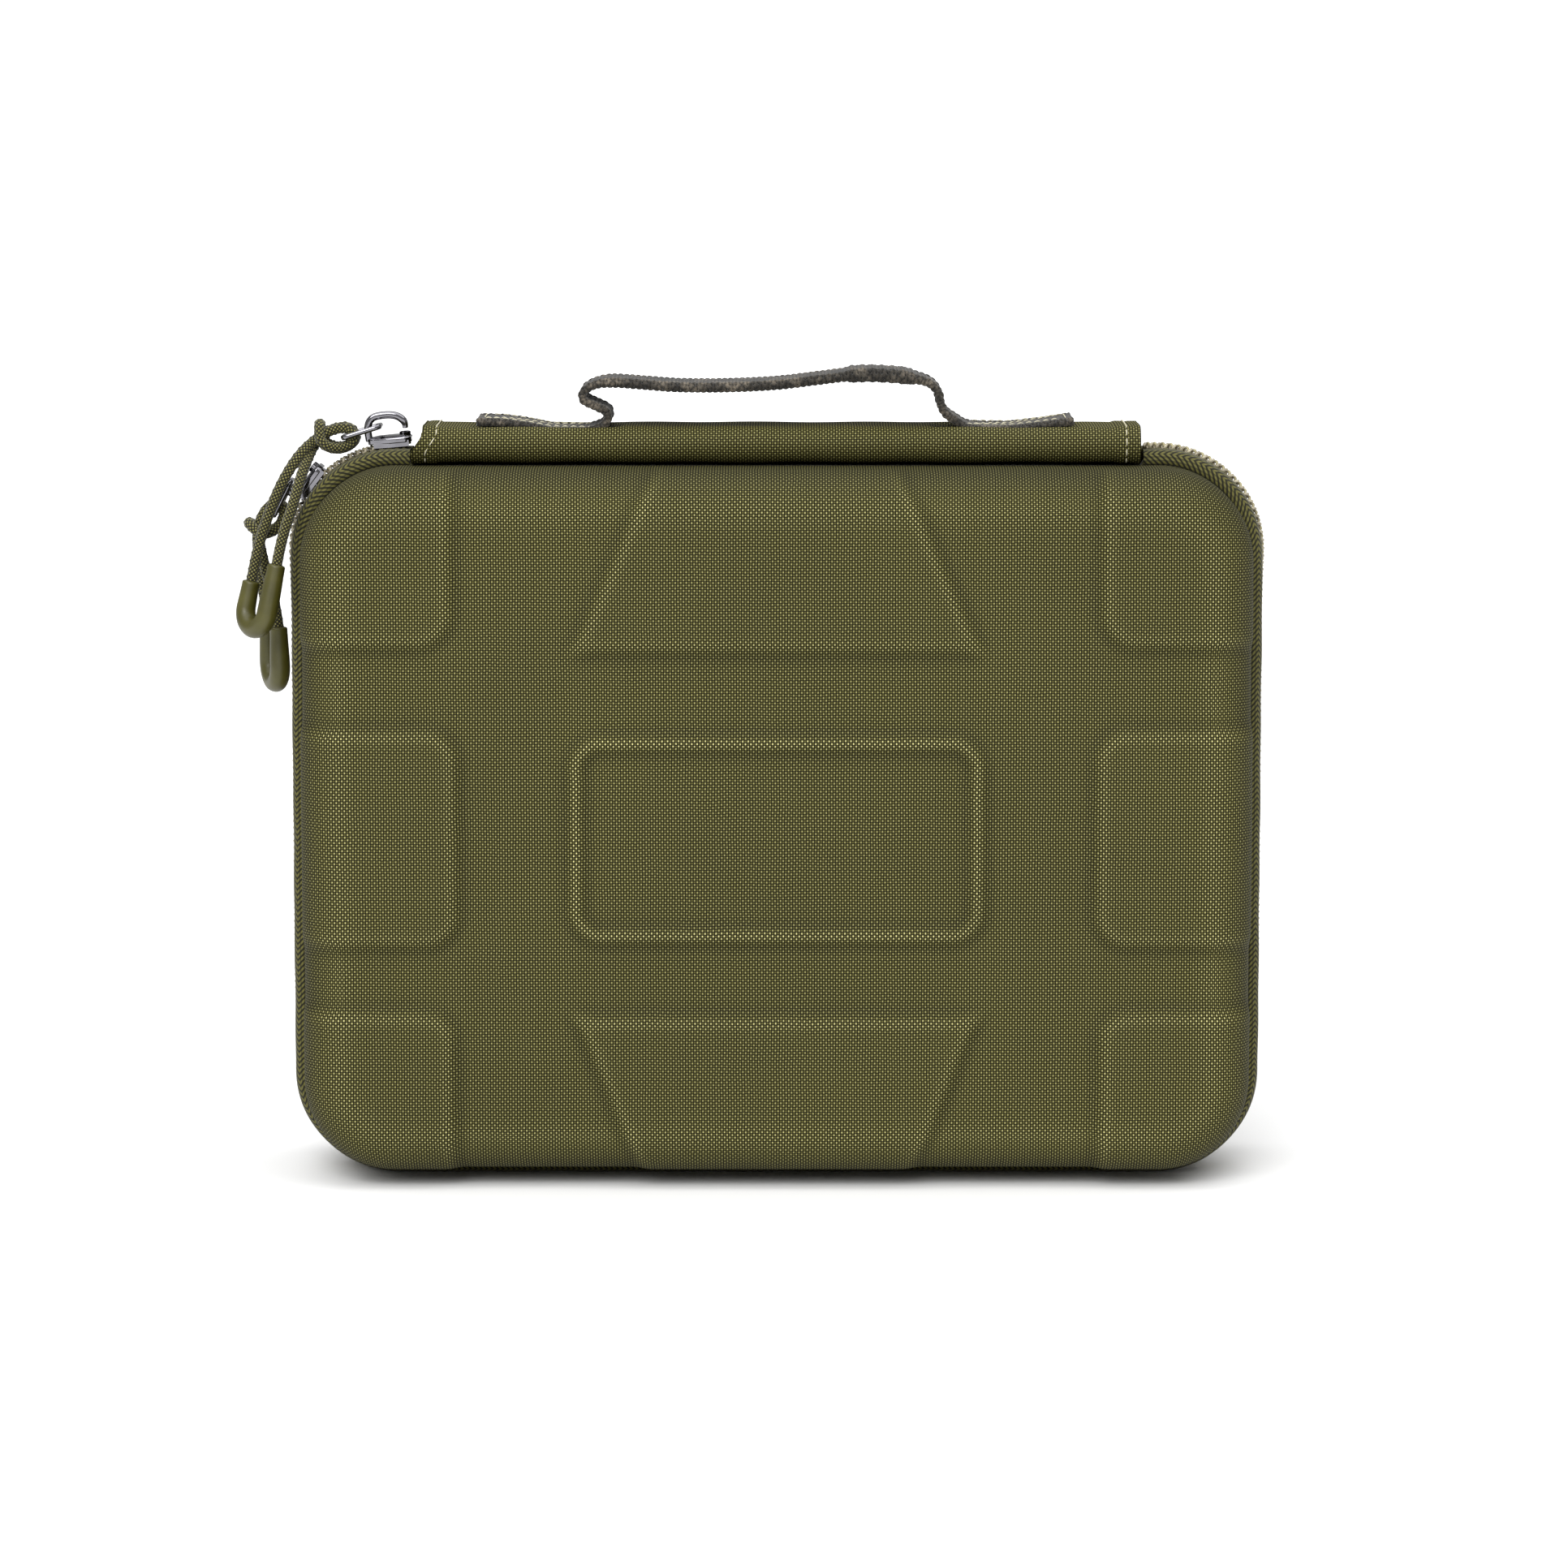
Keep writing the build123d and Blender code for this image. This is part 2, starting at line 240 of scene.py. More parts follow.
class Graph:
    """Short calls for building one material's nodes."""

    def __init__(self, name):
        self.material = bpy.data.materials.new(name)
        self.material.use_nodes = True
        self.tree = self.material.node_tree
        self.shader = self.tree.nodes["Principled BSDF"]

    def add(self, kind, **settings):
        node = self.tree.nodes.new(kind)
        for key, value in settings.items():
            setattr(node, key, value)
        return node

    def link(self, out, socket):
        self.tree.links.new(out, socket)

    def plug(self, node, index, value):
        if hasattr(value, "is_output"):
            self.link(value, node.inputs[index])
        else:
            node.inputs[index].default_value = (*value, 1) if isinstance(value, tuple) else value

    def math(self, operation, a, b=0.0):
        node = self.add("ShaderNodeMath", operation=operation)
        self.plug(node, 0, a)
        self.plug(node, 1, b)
        return node.outputs[0]

    def times(self, a, b):
        return self.math("MULTIPLY", a, b)

    def plus(self, a, b):
        return self.math("ADD", a, b)

    def less(self, a, b):
        return self.math("SUBTRACT", a, b)

    def size(self, a):
        return self.math("ABSOLUTE", a)

    def sine(self, a):
        return self.math("SINE", a)

    def uv(self, scale_u, scale_v):
        """The cloth coordinates in metres, times a scale each way."""
        where = self.add("ShaderNodeUVMap", uv_map="Cloth")
        split = self.add("ShaderNodeSeparateXYZ")
        self.link(where.outputs[0], split.inputs[0])
        return self.times(split.outputs[0], scale_u), self.times(split.outputs[1], scale_v)

    def noise(self, scale, detail=2.0, roughness=0.5):
        where = self.add("ShaderNodeTexCoord")
        node = self.add("ShaderNodeTexNoise")
        self.link(where.outputs["Object"], node.inputs["Vector"])
        for key, value in (("Scale", scale), ("Detail", detail), ("Roughness", roughness)):
            node.inputs[key].default_value = value
        return node.outputs["Fac"]

    def ramp(self, factor, stops):
        node = self.add("ShaderNodeValToRGB")
        self.link(factor, node.inputs[0])
        elements = node.color_ramp.elements
        while len(elements) < len(stops):
            elements.new(0.5)
        for element, (place, colour) in zip(elements, stops):
            element.position = place
            element.color = (*colour, 1)
        return node.outputs[0]

    def mix(self, factor, a, b, blend="MIX"):
        node = self.add("ShaderNodeMix", data_type="RGBA", blend_type=blend)
        for index, value in ((0, factor), (6, a), (7, b)):
            self.plug(node, index, value)
        return node.outputs[2]

    def bump(self, height, distance, strength=1.0):
        node = self.add("ShaderNodeBump")
        for key, value in (("Strength", strength), ("Distance", distance)):
            node.inputs[key].default_value = value
        self.link(height, node.inputs["Height"])
        self.link(node.outputs[0], self.shader.inputs["Normal"])

    def colour(self, out):
        self.link(out, self.shader.inputs["Base Color"])

    def rough(self, out, low, high):
        """Roughness between two values, from a 0 to 1 output."""
        spread = self.times(out, high - low)
        self.link(self.plus(spread, low), self.shader.inputs["Roughness"])

    def set(self, **values):
        for key, value in values.items():
            self.shader.inputs[key.replace("_", " ").title().replace("Ior", "IOR")].default_value = value


def srgb(red, green, blue):
    """A colour given as it looks on a screen, 0 to 255, in linear light."""
    return tuple(((c / 255 + 0.055) / 1.055) ** 2.4 if c > 10 else c / 3294 for c in (red, green, blue))


def shaded(colour, share):
    """A share of a colour's light."""
    return tuple(share * c for c in colour)


def plain_weave(name, pitch, gap, low, high, glint_colour, depth=0.12 * MM):
    """Plain-woven yarn: a checkerboard of warp and weft crowns with dark gaps between them, a painted glint on the
    warp crowns and painted shade in creases.
    """
    g = Graph(name)
    u, v = g.uv(math.pi / pitch, math.pi / pitch)
    wander = g.times(g.less(g.noise(90, 3), 0.5), 2.4)
    su = g.sine(g.plus(u, wander))
    sv = g.sine(g.plus(v, wander))
    au = g.size(su)
    av = g.size(sv)
    sign = g.times(su, sv)
    warp = g.math("GREATER_THAN", sign, 0.0)
    # A warp crown is long up the cloth, a weft crown long across it.
    warp_crown = g.times(au, g.math("POWER", av, 0.45))
    weft_crown = g.times(av, g.math("POWER", au, 0.45))
    weft_part = g.times(weft_crown, g.less(1.0, warp))
    height = g.plus(g.times(warp_crown, warp), g.times(weft_part, 0.82))
    base = g.ramp(height, [(0.16, gap), (0.52, low), (0.95, high)])
    crown = g.times(g.math("POWER", warp_crown, 4.0), warp)
    # Painted light from the moulding: a pale glint is painted on the warp crowns, brighter on raised edges, and
    # painted shade darkens creases and the walls.
    glint_and_shade = g.add("ShaderNodeAttribute", attribute_name="Stretch").outputs["Fac"]
    raised_glint = g.math("MAXIMUM", glint_and_shade, 0.0)
    slack = g.math("MAXIMUM", g.times(glint_and_shade, -1.0), 0.0)
    share = g.plus(g.times(raised_glint, 0.8), 0.42)
    tone = g.mix(g.times(crown, share), base, glint_colour)
    drift = g.noise(14, 4, 0.6)
    shade = g.ramp(drift, [(0.3, (0.93, 0.93, 0.93)), (0.7, (1.05, 1.05, 1.04))])
    # The painted shade in creases and on the walls, multiplied over the cloth.
    crease = g.mix(g.times(slack, 0.3), (1, 1, 1), (0, 0, 0))
    g.colour(g.mix(1.0, g.mix(1.0, tone, shade, "MULTIPLY"), crease, "MULTIPLY"))
    g.rough(height, 0.86, 0.6)
    g.bump(height, depth)
    g.set(specular_ior_level=0.2)
    return g.material


def twill(name, pitch, gap, low, high, slope=1.0, zigzag=0.0):
    """Twill or herringbone tape: slanted ribs that turn back every zigzag metres across the tape."""
    g = Graph(name)
    u, v = g.uv(1.0, 1.0)
    if zigzag:
        v = g.math("PINGPONG", v, zigzag)
    slant = g.plus(u, g.times(v, slope))
    rib = g.size(g.sine(g.times(slant, math.pi / pitch)))
    yarn = g.size(g.sine(g.times(v, math.pi / (pitch * 0.7))))
    height = g.times(rib, g.plus(g.times(yarn, 0.45), 0.55))
    g.colour(g.ramp(height, [(0.08, gap), (0.45, low), (0.95, high)]))
    g.rough(height, 0.9, 0.68)
    g.bump(height, 0.1 * MM)
    g.set(sheen_weight=0.15, specular_ior_level=0.3)
    return g.material


def grained(name, patches, stops, grain, gloss, relief=None, **settings):
    """A material without a pattern: patches of colour, a grain in its gloss and, where given, a fine relief."""
    g = Graph(name)
    g.colour(g.ramp(g.noise(*patches), stops))
    g.rough(g.noise(*grain), *gloss)
    if relief:
        g.bump(g.noise(*relief[0]), *relief[1:])
    g.set(**settings)
    return g.material


def nylon(name, low, high):
    """Coil wire: smooth nylon with a soft gloss."""
    return grained(name, (420, 3), [(0.35, low), (0.65, high)], (1800, 2), (0.28, 0.42), specular_ior_level=0.5)


def thread(name, colour):
    """Sewing thread."""
    return grained(name, (3000, 2), [(0.3, shaded(colour, 0.7)), (0.7, colour)], (4000, 2), (0.55, 0.8))


def braid(name, low, high, pitch, around):
    """A braided sleeve: two sets of yarns crossing on the slant."""
    g = Graph(name)
    u, v = g.uv(math.pi / pitch, math.pi / around)
    right = g.sine(g.plus(u, v))
    left = g.sine(g.less(u, v))
    height = g.size(g.times(right, left))
    g.colour(g.ramp(height, [(0.05, shaded(low, 0.2)), (0.4, low), (0.95, high)]))
    g.rough(height, 0.85, 0.6)
    g.bump(height, 0.15 * MM)
    g.set(sheen_weight=0.2, specular_ior_level=0.3)
    return g.material


def webbing_look(name):
    """Patterned webbing: ribbed grey-brown yarn with paler and darker woven patches."""
    g = Graph(name)
    u, v = g.uv(math.pi / (1.1 * MM), math.pi / (0.9 * MM))
    rib = g.size(g.sine(u))
    yarn = g.size(g.sine(g.plus(v, u)))
    height = g.times(rib, g.plus(g.times(yarn, 0.5), 0.5))
    patch = g.noise(120, 3, 0.6)
    cloth = g.ramp(patch, [(0.36, srgb(29, 26, 21)), (0.52, srgb(51, 47, 40)), (0.66, srgb(106, 98, 86))])
    shade = g.ramp(height, [(0.05, (0.28, 0.28, 0.28)), (0.5, (0.8, 0.8, 0.8)), (0.95, (1.25, 1.22, 1.18))])
    g.colour(g.mix(1.0, cloth, shade, "MULTIPLY"))
    g.rough(height, 0.9, 0.65)
    g.bump(height, 0.22 * MM)
    g.set(sheen_weight=0.2, specular_ior_level=0.3)
    return g.material


CASE_YARN = 0.82 * MM
LINING_YARN = 0.5 * MM
TAPE_RIB = 1.7 * MM
BINDING_RIB = 1.5 * MM
CORD_CARRIERS = 8
CHROME = srgb(136, 135, 140)

# The last colour of each plain weave is the painted glint on its yarn crowns.
case_cloth = plain_weave(
    "case_cloth", CASE_YARN, srgb(13, 12, 0), srgb(60, 57, 18), srgb(104, 100, 50), srgb(214, 208, 146)
)
lining_cloth = plain_weave(
    "lining_cloth", LINING_YARN, srgb(12, 12, 12), srgb(34, 34, 35), srgb(52, 52, 54), srgb(70, 70, 72), 0.06 * MM
)
tape_cloth = twill("tape_cloth", TAPE_RIB, srgb(6, 6, 0), srgb(40, 38, 8), srgb(98, 94, 42), 1.0, 2 * TAPE_RIB)
binding_cloth = twill("binding_cloth", BINDING_RIB, srgb(8, 8, 2), srgb(30, 28, 10), srgb(62, 60, 28), 0.3)
coil_near = nylon("coil_near", srgb(132, 124, 104), srgb(184, 176, 152))
coil_far = nylon("coil_far", srgb(140, 132, 98), srgb(178, 170, 132))
# Polished die-cast metal with faint tumbling marks, and soft plastic with a satin skin.
polished = grained(
    "polished", (260, 2), [(0.3, shaded(CHROME, 0.86)), (0.7, CHROME)], (2600, 4, 0.7), (0.06, 0.16),
    ((700, 2), 0.02 * MM, 0.5), metallic=1.0,
)
pull_plastic = grained(
    "pull_plastic", (160, 3), [(0.3, srgb(64, 61, 16)), (0.7, srgb(76, 73, 24))], (2200, 3), (0.36, 0.5),
    ((5200, 2), 0.012 * MM), specular_ior_level=0.5, coat_weight=0.06, coat_roughness=0.4,
)
cord_braid = braid("cord_braid", srgb(38, 36, 8), srgb(134, 129, 72), 1.25 * MM, math.pi * CORD / CORD_CARRIERS)
webbing_cloth = webbing_look("webbing_cloth")
pale_thread = thread("pale_thread", srgb(214, 208, 180))
olive_thread = thread("olive_thread", srgb(96, 92, 56))
net_yarn = nylon("net_yarn", srgb(22, 22, 22), srgb(40, 40, 41))


# ---------------------------------------------------------------- the case's outline


def outline_points(inset, radius, stations):
    """Points round the outline moved in by inset, with their outward directions.

    Stations are lengths round the full outline, clockwise from the middle of the top edge as seen from the front.
    """
    half_x = HALF_WIDTH - inset
    half_z = HALF_HEIGHT - inset
    radius = min(radius, half_x, half_z)
    # Every ring shares the same fractions, taken on the full outline, so columns line up from ring to ring.
    full_x = 2 * (HALF_WIDTH - CORNER)
    full_z = 2 * (HALF_HEIGHT - CORNER)
    full_quarter = CORNER * math.pi / 2
    xs, zs, nx, nz = (np.empty(len(stations)) for _ in range(4))
    flat_x, flat_z = half_x - radius, half_z - radius
    # Lines are given by their two ends and way out, arcs by their centre and starting angle.
    legs = [
        (full_x / 2, (0, half_z), (flat_x, half_z), (0, 1)),
        (full_quarter, (flat_x, flat_z), 90, None),
        (full_z, (half_x, flat_z), (half_x, -flat_z), (1, 0)),
        (full_quarter, (flat_x, -flat_z), 0, None),
        (full_x, (flat_x, -half_z), (-flat_x, -half_z), (0, -1)),
        (full_quarter, (-flat_x, -flat_z), -90, None),
        (full_z, (-half_x, -flat_z), (-half_x, flat_z), (-1, 0)),
        (full_quarter, (-flat_x, flat_z), -180, None),
        (full_x / 2, (-flat_x, half_z), (0, half_z), (0, 1)),
    ]
    start = 0.0
    for length, first, second, direction in legs:
        inside = (stations >= start - 1e-12) & (stations < start + length - 1e-12)
        t = (stations[inside] - start) / length
        if direction:
            xs[inside] = first[0] + (second[0] - first[0]) * t
            zs[inside] = first[1] + (second[1] - first[1]) * t
            nx[inside], nz[inside] = direction
        else:
            angle = np.radians(second - 90 * t)
            nx[inside], nz[inside] = np.cos(angle), np.sin(angle)
            xs[inside] = first[0] + radius * nx[inside]
            zs[inside] = first[1] + radius * nz[inside]
        start += length
    return xs, zs + CASE_MIDDLE, nx, nz


PERIMETER = 4 * (HALF_WIDTH - CORNER) + 4 * (HALF_HEIGHT - CORNER) + 2 * math.pi * CORNER


def rounded_box_distance(x, z, middle_x, middle_z, half_x, half_z, radius):
    """Signed distance to a rounded rectangle, negative inside it."""
    qx = np.abs(x - middle_x) - (half_x - radius)
    qz = np.abs(z - middle_z) - (half_z - radius)
    outside = np.hypot(np.maximum(qx, 0), np.maximum(qz, 0))
    return outside + np.minimum(np.maximum(qx, qz), 0) - radius


def half_plane(x, z, point, direction):
    """Signed distance to a line through point, positive on the side direction points to."""
    length = math.hypot(*direction)
    return ((x - point[0]) * direction[0] + (z - point[1]) * direction[1]) / length


def soft_max(a, b, blend):
    """The larger of two distances, with a rounded seam."""
    h = np.clip(0.5 + 0.5 * (a - b) / blend, 0, 1)
    return b + (a - b) * h + blend * h * (1 - h)


def raised(distance, width=PAD_SLOPE):
    """1 on a pad and 0 in a channel, with a soft slope of that width round its edge."""
    t = np.clip(0.5 - distance / width, 0, 1)
    return t * t * t * (t * (6 * t - 15) + 10)


def pad_height(x, z):
    """How far up from the channels the moulded face stands at a point, from 0 to 1."""
    mm = MM
    ax = np.abs(x)
    # The side panels, mirrored. Each runs on past the outline, where it has no edge of its own.
    top, middle, bottom = (
        rounded_box_distance(ax, z, 170 * mm, level * mm, half_x * mm, half_z * mm, radius * mm)
        for level, half_x, half_z, radius in ((240, 71.0, 72.6, 11), (108.7, 72.5, 33.1, 10), (-30, 71.2, 85.2, 6))
    )
    bottom = soft_max(bottom, half_plane(ax, z, (103 * mm, 55.2 * mm), (-0.6, 0.8)), 5 * mm)
    # The two panels over and under the centre frame, then the frame itself.
    high, low = (
        soft_max(half_plane(ax, z, corner, slope), half_plane(ax, z, (0, edge), (0, way)), 4 * mm)
        for corner, slope, edge, way in (
            ((62.6 * mm, 165.3 * mm), (0.912, 0.41), 166.0 * mm, -1),
            ((61.5 * mm, 53.8 * mm), (0.927, -0.375), 53.8 * mm, 1),
        )
    )
    frame_outer = rounded_box_distance(x, z, 0, 108.4 * mm, 63.6 * mm, 31.9 * mm, 10.5 * mm)
    ring = np.abs(frame_outer + 2.3 * mm) - 1.9 * mm
    height = np.maximum.reduce([raised(pad) for pad in (top, middle, bottom, high, low)])
    return np.maximum(height, FRAME_HEIGHT * raised(ring, FRAME_SLOPE))


def edge_glint_and_shade_at(x, z, step=2.0 * MM):
    """How the moulded face curves at a point, for its painted glint and shade: over 0 on a raised edge, under 0 in
    a crease.
    """
    here = pad_height(x, z)
    round_it = sum(pad_height(x + dx, z + dz) for dx, dz in ((step, 0), (-step, 0), (0, step), (0, -step)))
    return np.clip((4 * here - round_it) * 1.6, -1, 1)


def face_radius(inset, edge):
    """The corner radius of a ring on a face with a rounded edge that wide. It stays soft towards the middle."""
    return max(CORNER - inset, 4 * MM + 11 * MM * math.exp(-(inset - edge) / (30 * MM)))


def cover_rings():
    """The cover's section as (inset from the outline, distance forward of the rim), from the rim inwards."""
    depth = FACE - RIM
    section = []
    # A small tuck where the cloth turns in behind the binding, then the wall, the rounded edge and the face.
    for angle in np.linspace(0, 90, 5)[:-1]:
        a = math.radians(angle)
        section.append((1.5 * MM * (1 - math.sin(a)), 1.5 * MM * (1 - math.cos(a))))
    for y in np.arange(1.5 * MM, depth - EDGE, 1.2 * MM):
        section.append((0.0, y))
    for angle in np.linspace(0, 90, 21):
        a = math.radians(angle)
        section.append((EDGE * (1 - math.cos(a)), depth - EDGE + EDGE * math.sin(a)))
    inset = EDGE
    while inset < HALF_HEIGHT - 1.0 * MM:
        inset += 0.85 * MM
        section.append((min(inset, HALF_HEIGHT - 0.4 * MM), depth))
    return np.array(section)


def make_cover(name, side):
    """The woven cover of one half: side is -1 for the front and 1 for the back."""
    section = cover_rings()
    stations = np.linspace(0, PERIMETER, COVER_COLUMNS, endpoint=False)
    steps = np.hypot(np.diff(section[:, 0]), np.diff(section[:, 1]))
    arc = np.concatenate([[0], np.cumsum(steps)])
    depth = FACE - RIM
    edge_start = int(np.argmin(np.abs(section[:, 1] - (depth - EDGE)) + section[:, 0] * 10))
    face_arc = arc[np.argmax(section[:, 0] >= EDGE - 1e-9)]
    fade_length = 0.75 * (face_arc - arc[edge_start]) + 14 * MM
    rows, uvs, glint_and_shade_rows = [], [], []
    for (inset, forward), length in zip(section, arc):
        radius = face_radius(inset, EDGE) if inset > EDGE else CORNER - inset
        xs, zs, nx, nz = outline_points(inset, radius, stations)
        on_face = inset >= EDGE
        # Section normal: straight out on the wall, straight forward on the face.
        if on_face:
            out, ahead = 0.0, 1.0
        elif forward > depth - EDGE:
            lean = math.asin(min(1.0, (forward - (depth - EDGE)) / EDGE))
            out, ahead = math.cos(lean), math.sin(lean)
        else:
            out, ahead = 1.0, 0.0
        relief = (1 - pad_height(xs, zs)) * 1.15 * RELIEF
        fade = 1.0 if on_face else float(smooth_step(1 - (face_arc - length) / fade_length))
        relief = relief * fade
        # Painted light on the rounded edge: a painted highlight band where it meets the face, and painted shade
        # that darkens it towards the wall.
        beyond = inset - EDGE if on_face else length - face_arc
        rim_glint = 0.4 * math.exp(-(((beyond + 1 * MM) / (4 * MM)) ** 2))
        closed = 1.3 * float(smooth_step((-beyond - 5 * MM) / (13 * MM)))
        glint_and_shade_rows.append(edge_glint_and_shade_at(xs, zs) * fade + (rim_glint - closed))
        # Moulded cloth is never quite true: the walls bow out a little and the face is slightly crowned.
        along = np.sin(np.clip((zs - CASE_BASE) / (CASE_TOP - CASE_BASE), 0, 1) * math.pi)
        bow = 0.0 if on_face else WALL_BOW * math.sin(math.pi * min(1.0, length / face_arc))
        up = (zs - CASE_MIDDLE) / HALF_HEIGHT
        crown = FACE_CROWN * (1 - ((xs / HALF_WIDTH) ** 2)) * (1 - (up**2)) * ahead
        waver = FACE_WAVER * np.sin(xs / (23 * MM) + 1.3 + side) * np.sin(zs / (31 * MM) + 0.4)
        push = bow * along - relief
        x = xs + nx * out * push
        z = zs + nz * out * push
        y = forward + ahead * (push + waver) + crown
        rows.append(np.stack([x, side * (RIM + y), z], axis=1))
        beyond = 0.0 if on_face else face_arc - length
        flat = beyond - (EDGE - inset if inset < EDGE else 0.0)
        uvs.append(np.stack([xs + nx * flat, zs + nz * flat], axis=1))
    cover = new_mesh(name, *closed_over(rows, side > 0), np.concatenate([*uvs, [[0.0, CASE_MIDDLE]]]), case_cloth)
    # The attribute carries the painted glint (over 0) and the painted shade (under 0) for the weave.
    glint_and_shade = cover.data.attributes.new("Stretch", "FLOAT", "POINT")
    glint_and_shade.data.foreach_set("value", np.append(np.concatenate(glint_and_shade_rows), 0.0).astype(np.float32))
    return cover


lid_cover = make_cover("lid_cover", -1)
back_cover_cloth = make_cover("back_cover_cloth", 1)


# ---------------------------------------------------------------- zipper


def sweep_outline(profile, stations, side, ripple=None):
    """Vertices, faces and UVs of a profile of (outset, distance from the middle plane) swept round the outline."""
    profile = np.asarray(profile, float)
    steps = np.hypot(*np.diff(np.vstack([profile, profile[:1]]), axis=0).T)
    across = np.concatenate([[0], np.cumsum(steps)])[: len(profile)]
    rings = []
    for outset, forward in profile:
        xs, zs, nx, nz = outline_points(-outset, CORNER + outset, stations)
        if ripple is not None:
            extra = ripple(stations, forward)
            xs, zs = xs + nx * extra, zs + nz * extra
        rings.append(np.stack([xs, np.full(len(stations), side * forward), zs], axis=1))
    vertices = np.stack(rings, axis=1).reshape(-1, 3)
    uvs = np.stack(np.broadcast_arrays(stations[:, None], across[None, :]), axis=-1).reshape(-1, 2)
    faces = grid_faces(len(stations), len(profile), wrap_columns=True, flip=side > 0)
    return vertices, faces, uvs


OPEN_START = SPINE_HALF + 0.5 * MM
ring_stations = np.linspace(OPEN_START, PERIMETER - OPEN_START, 900)
full_stations = np.append(np.linspace(0, PERIMETER, 700, endpoint=False), PERIMETER - 1e-7)


def tape_ripple(stations, forward):
    """Slight waves along the tape, most at its coil edge."""
    long_wave = 0.10 * MM * np.sin(stations / (9 * MM)) * math.cos(forward / (9 * MM))
    return long_wave + 0.07 * MM * np.sin(stations / (3.7 * MM))


TAPE_PROFILE = [
    (0.2, 12.5), (1.3, 12.55), (2.4, 12.3), (3.4, 11.7), (4.15, 10.9), (4.55, 9.9), (4.65, 8.6), (4.6, 6.0),
    (4.5, 4.0), (4.35, 2.7), (4.0, 1.9), (3.5, 2.2), (3.45, 4.0), (3.5, 8.4), (3.2, 9.7), (2.4, 10.6), (1.2, 11.1),
    (0.2, 11.3),
]
BINDING_PROFILE = [
    (-5.6, 12.6), (-5.9, 11.4), (-5.3, 10.2), (-4.3, 9.7), (-1.0, 9.6), (1.6, 9.7), (2.3, 10.5), (2.2, 11.6),
    (1.2, 12.2), (-1.0, 12.3),
]


COIL_PITCH = 2.1 * MM
COIL_WIRE = 0.47 * MM
COIL_DASH = 1.55 * MM
COIL_THREAD = 0.14 * MM


def make_zipper(name, side):
    """One half's tape, binding and coil. The coils mesh across the middle plane, half a pitch apart."""
    tape = sweep_outline(np.array(TAPE_PROFILE) * MM, ring_stations, side, tape_ripple)
    tape = new_mesh(name + "_tape_cloth", *tape, tape_cloth)
    vertices, faces, uvs = sweep_outline(np.array(BINDING_PROFILE) * MM, full_stations, side)
    # Along the spine the binding stays under the shell's top edge.
    near_spine = np.abs(vertices[:, 0]) < OPEN_START
    vertices[:, 2] = np.where(near_spine, np.minimum(vertices[:, 2], CASE_TOP - 0.1 * MM), vertices[:, 2])
    binding = new_mesh(name + "_binding_cloth", vertices, faces, uvs, binding_cloth)

    turns = int((PERIMETER - 2 * OPEN_START - 1 * MM) / COIL_PITCH)
    phase = 0.0 if side < 0 else math.pi
    t = np.linspace(0, turns, turns * 12)
    angle = 2 * math.pi * t + phase
    stations = OPEN_START + 0.5 * MM + t * COIL_PITCH
    # Each turn reaches over the middle plane to mesh, and back over the tape's edge.
    forward = (1.15 + 1.5 * np.cos(angle)) * MM
    xs, zs, nx, nz = outline_points(0.0, CORNER, stations)
    # The chain stands proudest round the top corners and lies flush underneath.
    proud = -0.35 + 0.75 * smooth_step((zs - 25 * MM) / (40 * MM)) + 0.9 * smooth_step((zs - 175 * MM) / (35 * MM))
    outset = (3.75 + proud + 0.78 * np.sin(angle)) * MM
    points = np.stack([xs + nx * outset, side * forward, zs + nz * outset], axis=1)
    yarn = coil_near if side < 0 else coil_far
    coil = new_mesh(name + "_coil_wire", *round_piece(points, COIL_WIRE, 8), yarn)
    # Two lines of sewing hold the coil to the tape.
    for line, forward in enumerate((3.35, 5.2)):
        parts = []
        for place in np.arange(OPEN_START + 2 * MM, PERIMETER - OPEN_START - 2 * MM, COIL_PITCH):
            s = np.linspace(place, place + COIL_DASH, 5)
            lift = (4.55 + 0.16 * np.sin(np.linspace(0, math.pi, 5))) * MM
            a, b, c, d = outline_points(0.0, CORNER, s)
            path = np.stack([a + c * lift, np.full(5, side * forward * MM), b + d * lift], axis=1)
            parts.append(thread_piece(path, COIL_THREAD))
        stitch = merged(f"{name}_coil_stitches_{line}", parts, olive_thread)
        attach(stitch, "lid" if side < 0 else "back")
    return tape, binding, coil


lid_tape, lid_binding, lid_coil = make_zipper("lid", -1)
back_tape, back_binding, back_coil = make_zipper("back", 1)


# ---------------------------------------------------------------- spine

HINGE_Y = 12 * MM
HEM_SEAM = 4.4 * MM  # from the spine's ends to their sewing
HEM_THREAD = 0.21 * MM
HEM_DASH, HEM_GAP = 2.3 * MM, 0.9 * MM
CLOTH_THICKNESS = 1.0 * MM


def stadium(t, radius):
    """Points on the spine's section: t runs from 0 at the lower front, over the crest and back underneath."""
    flat = 2 * HINGE_Y
    half_round = math.pi * radius
    total = 2 * flat + 2 * half_round
    s = (t % 2) / 2 * total
    front, back = s / radius, (s - half_round - flat) / radius
    parts = [s < half_round, s < half_round + flat, s < 2 * half_round + flat]
    y = np.select(
        parts, [-HINGE_Y - radius * np.sin(front), -HINGE_Y + (s - half_round), HINGE_Y + radius * np.sin(back)],
        HINGE_Y - (s - 2 * half_round - flat),
    )
    z = np.select(parts, [-radius * np.cos(front), np.full_like(s, radius), radius * np.cos(back)], -radius)
    return y, z + HINGE_HEIGHT, s


def section_normals(y, z):
    """Outward directions of the spine's section."""
    ny = np.where(y < -HINGE_Y, y + HINGE_Y, np.where(y > HINGE_Y, y - HINGE_Y, 0.0))
    nz = z - HINGE_HEIGHT
    nz = np.where(np.abs(y) <= HINGE_Y, np.sign(nz), nz)
    length = np.hypot(ny, nz)
    return ny / length, nz / length


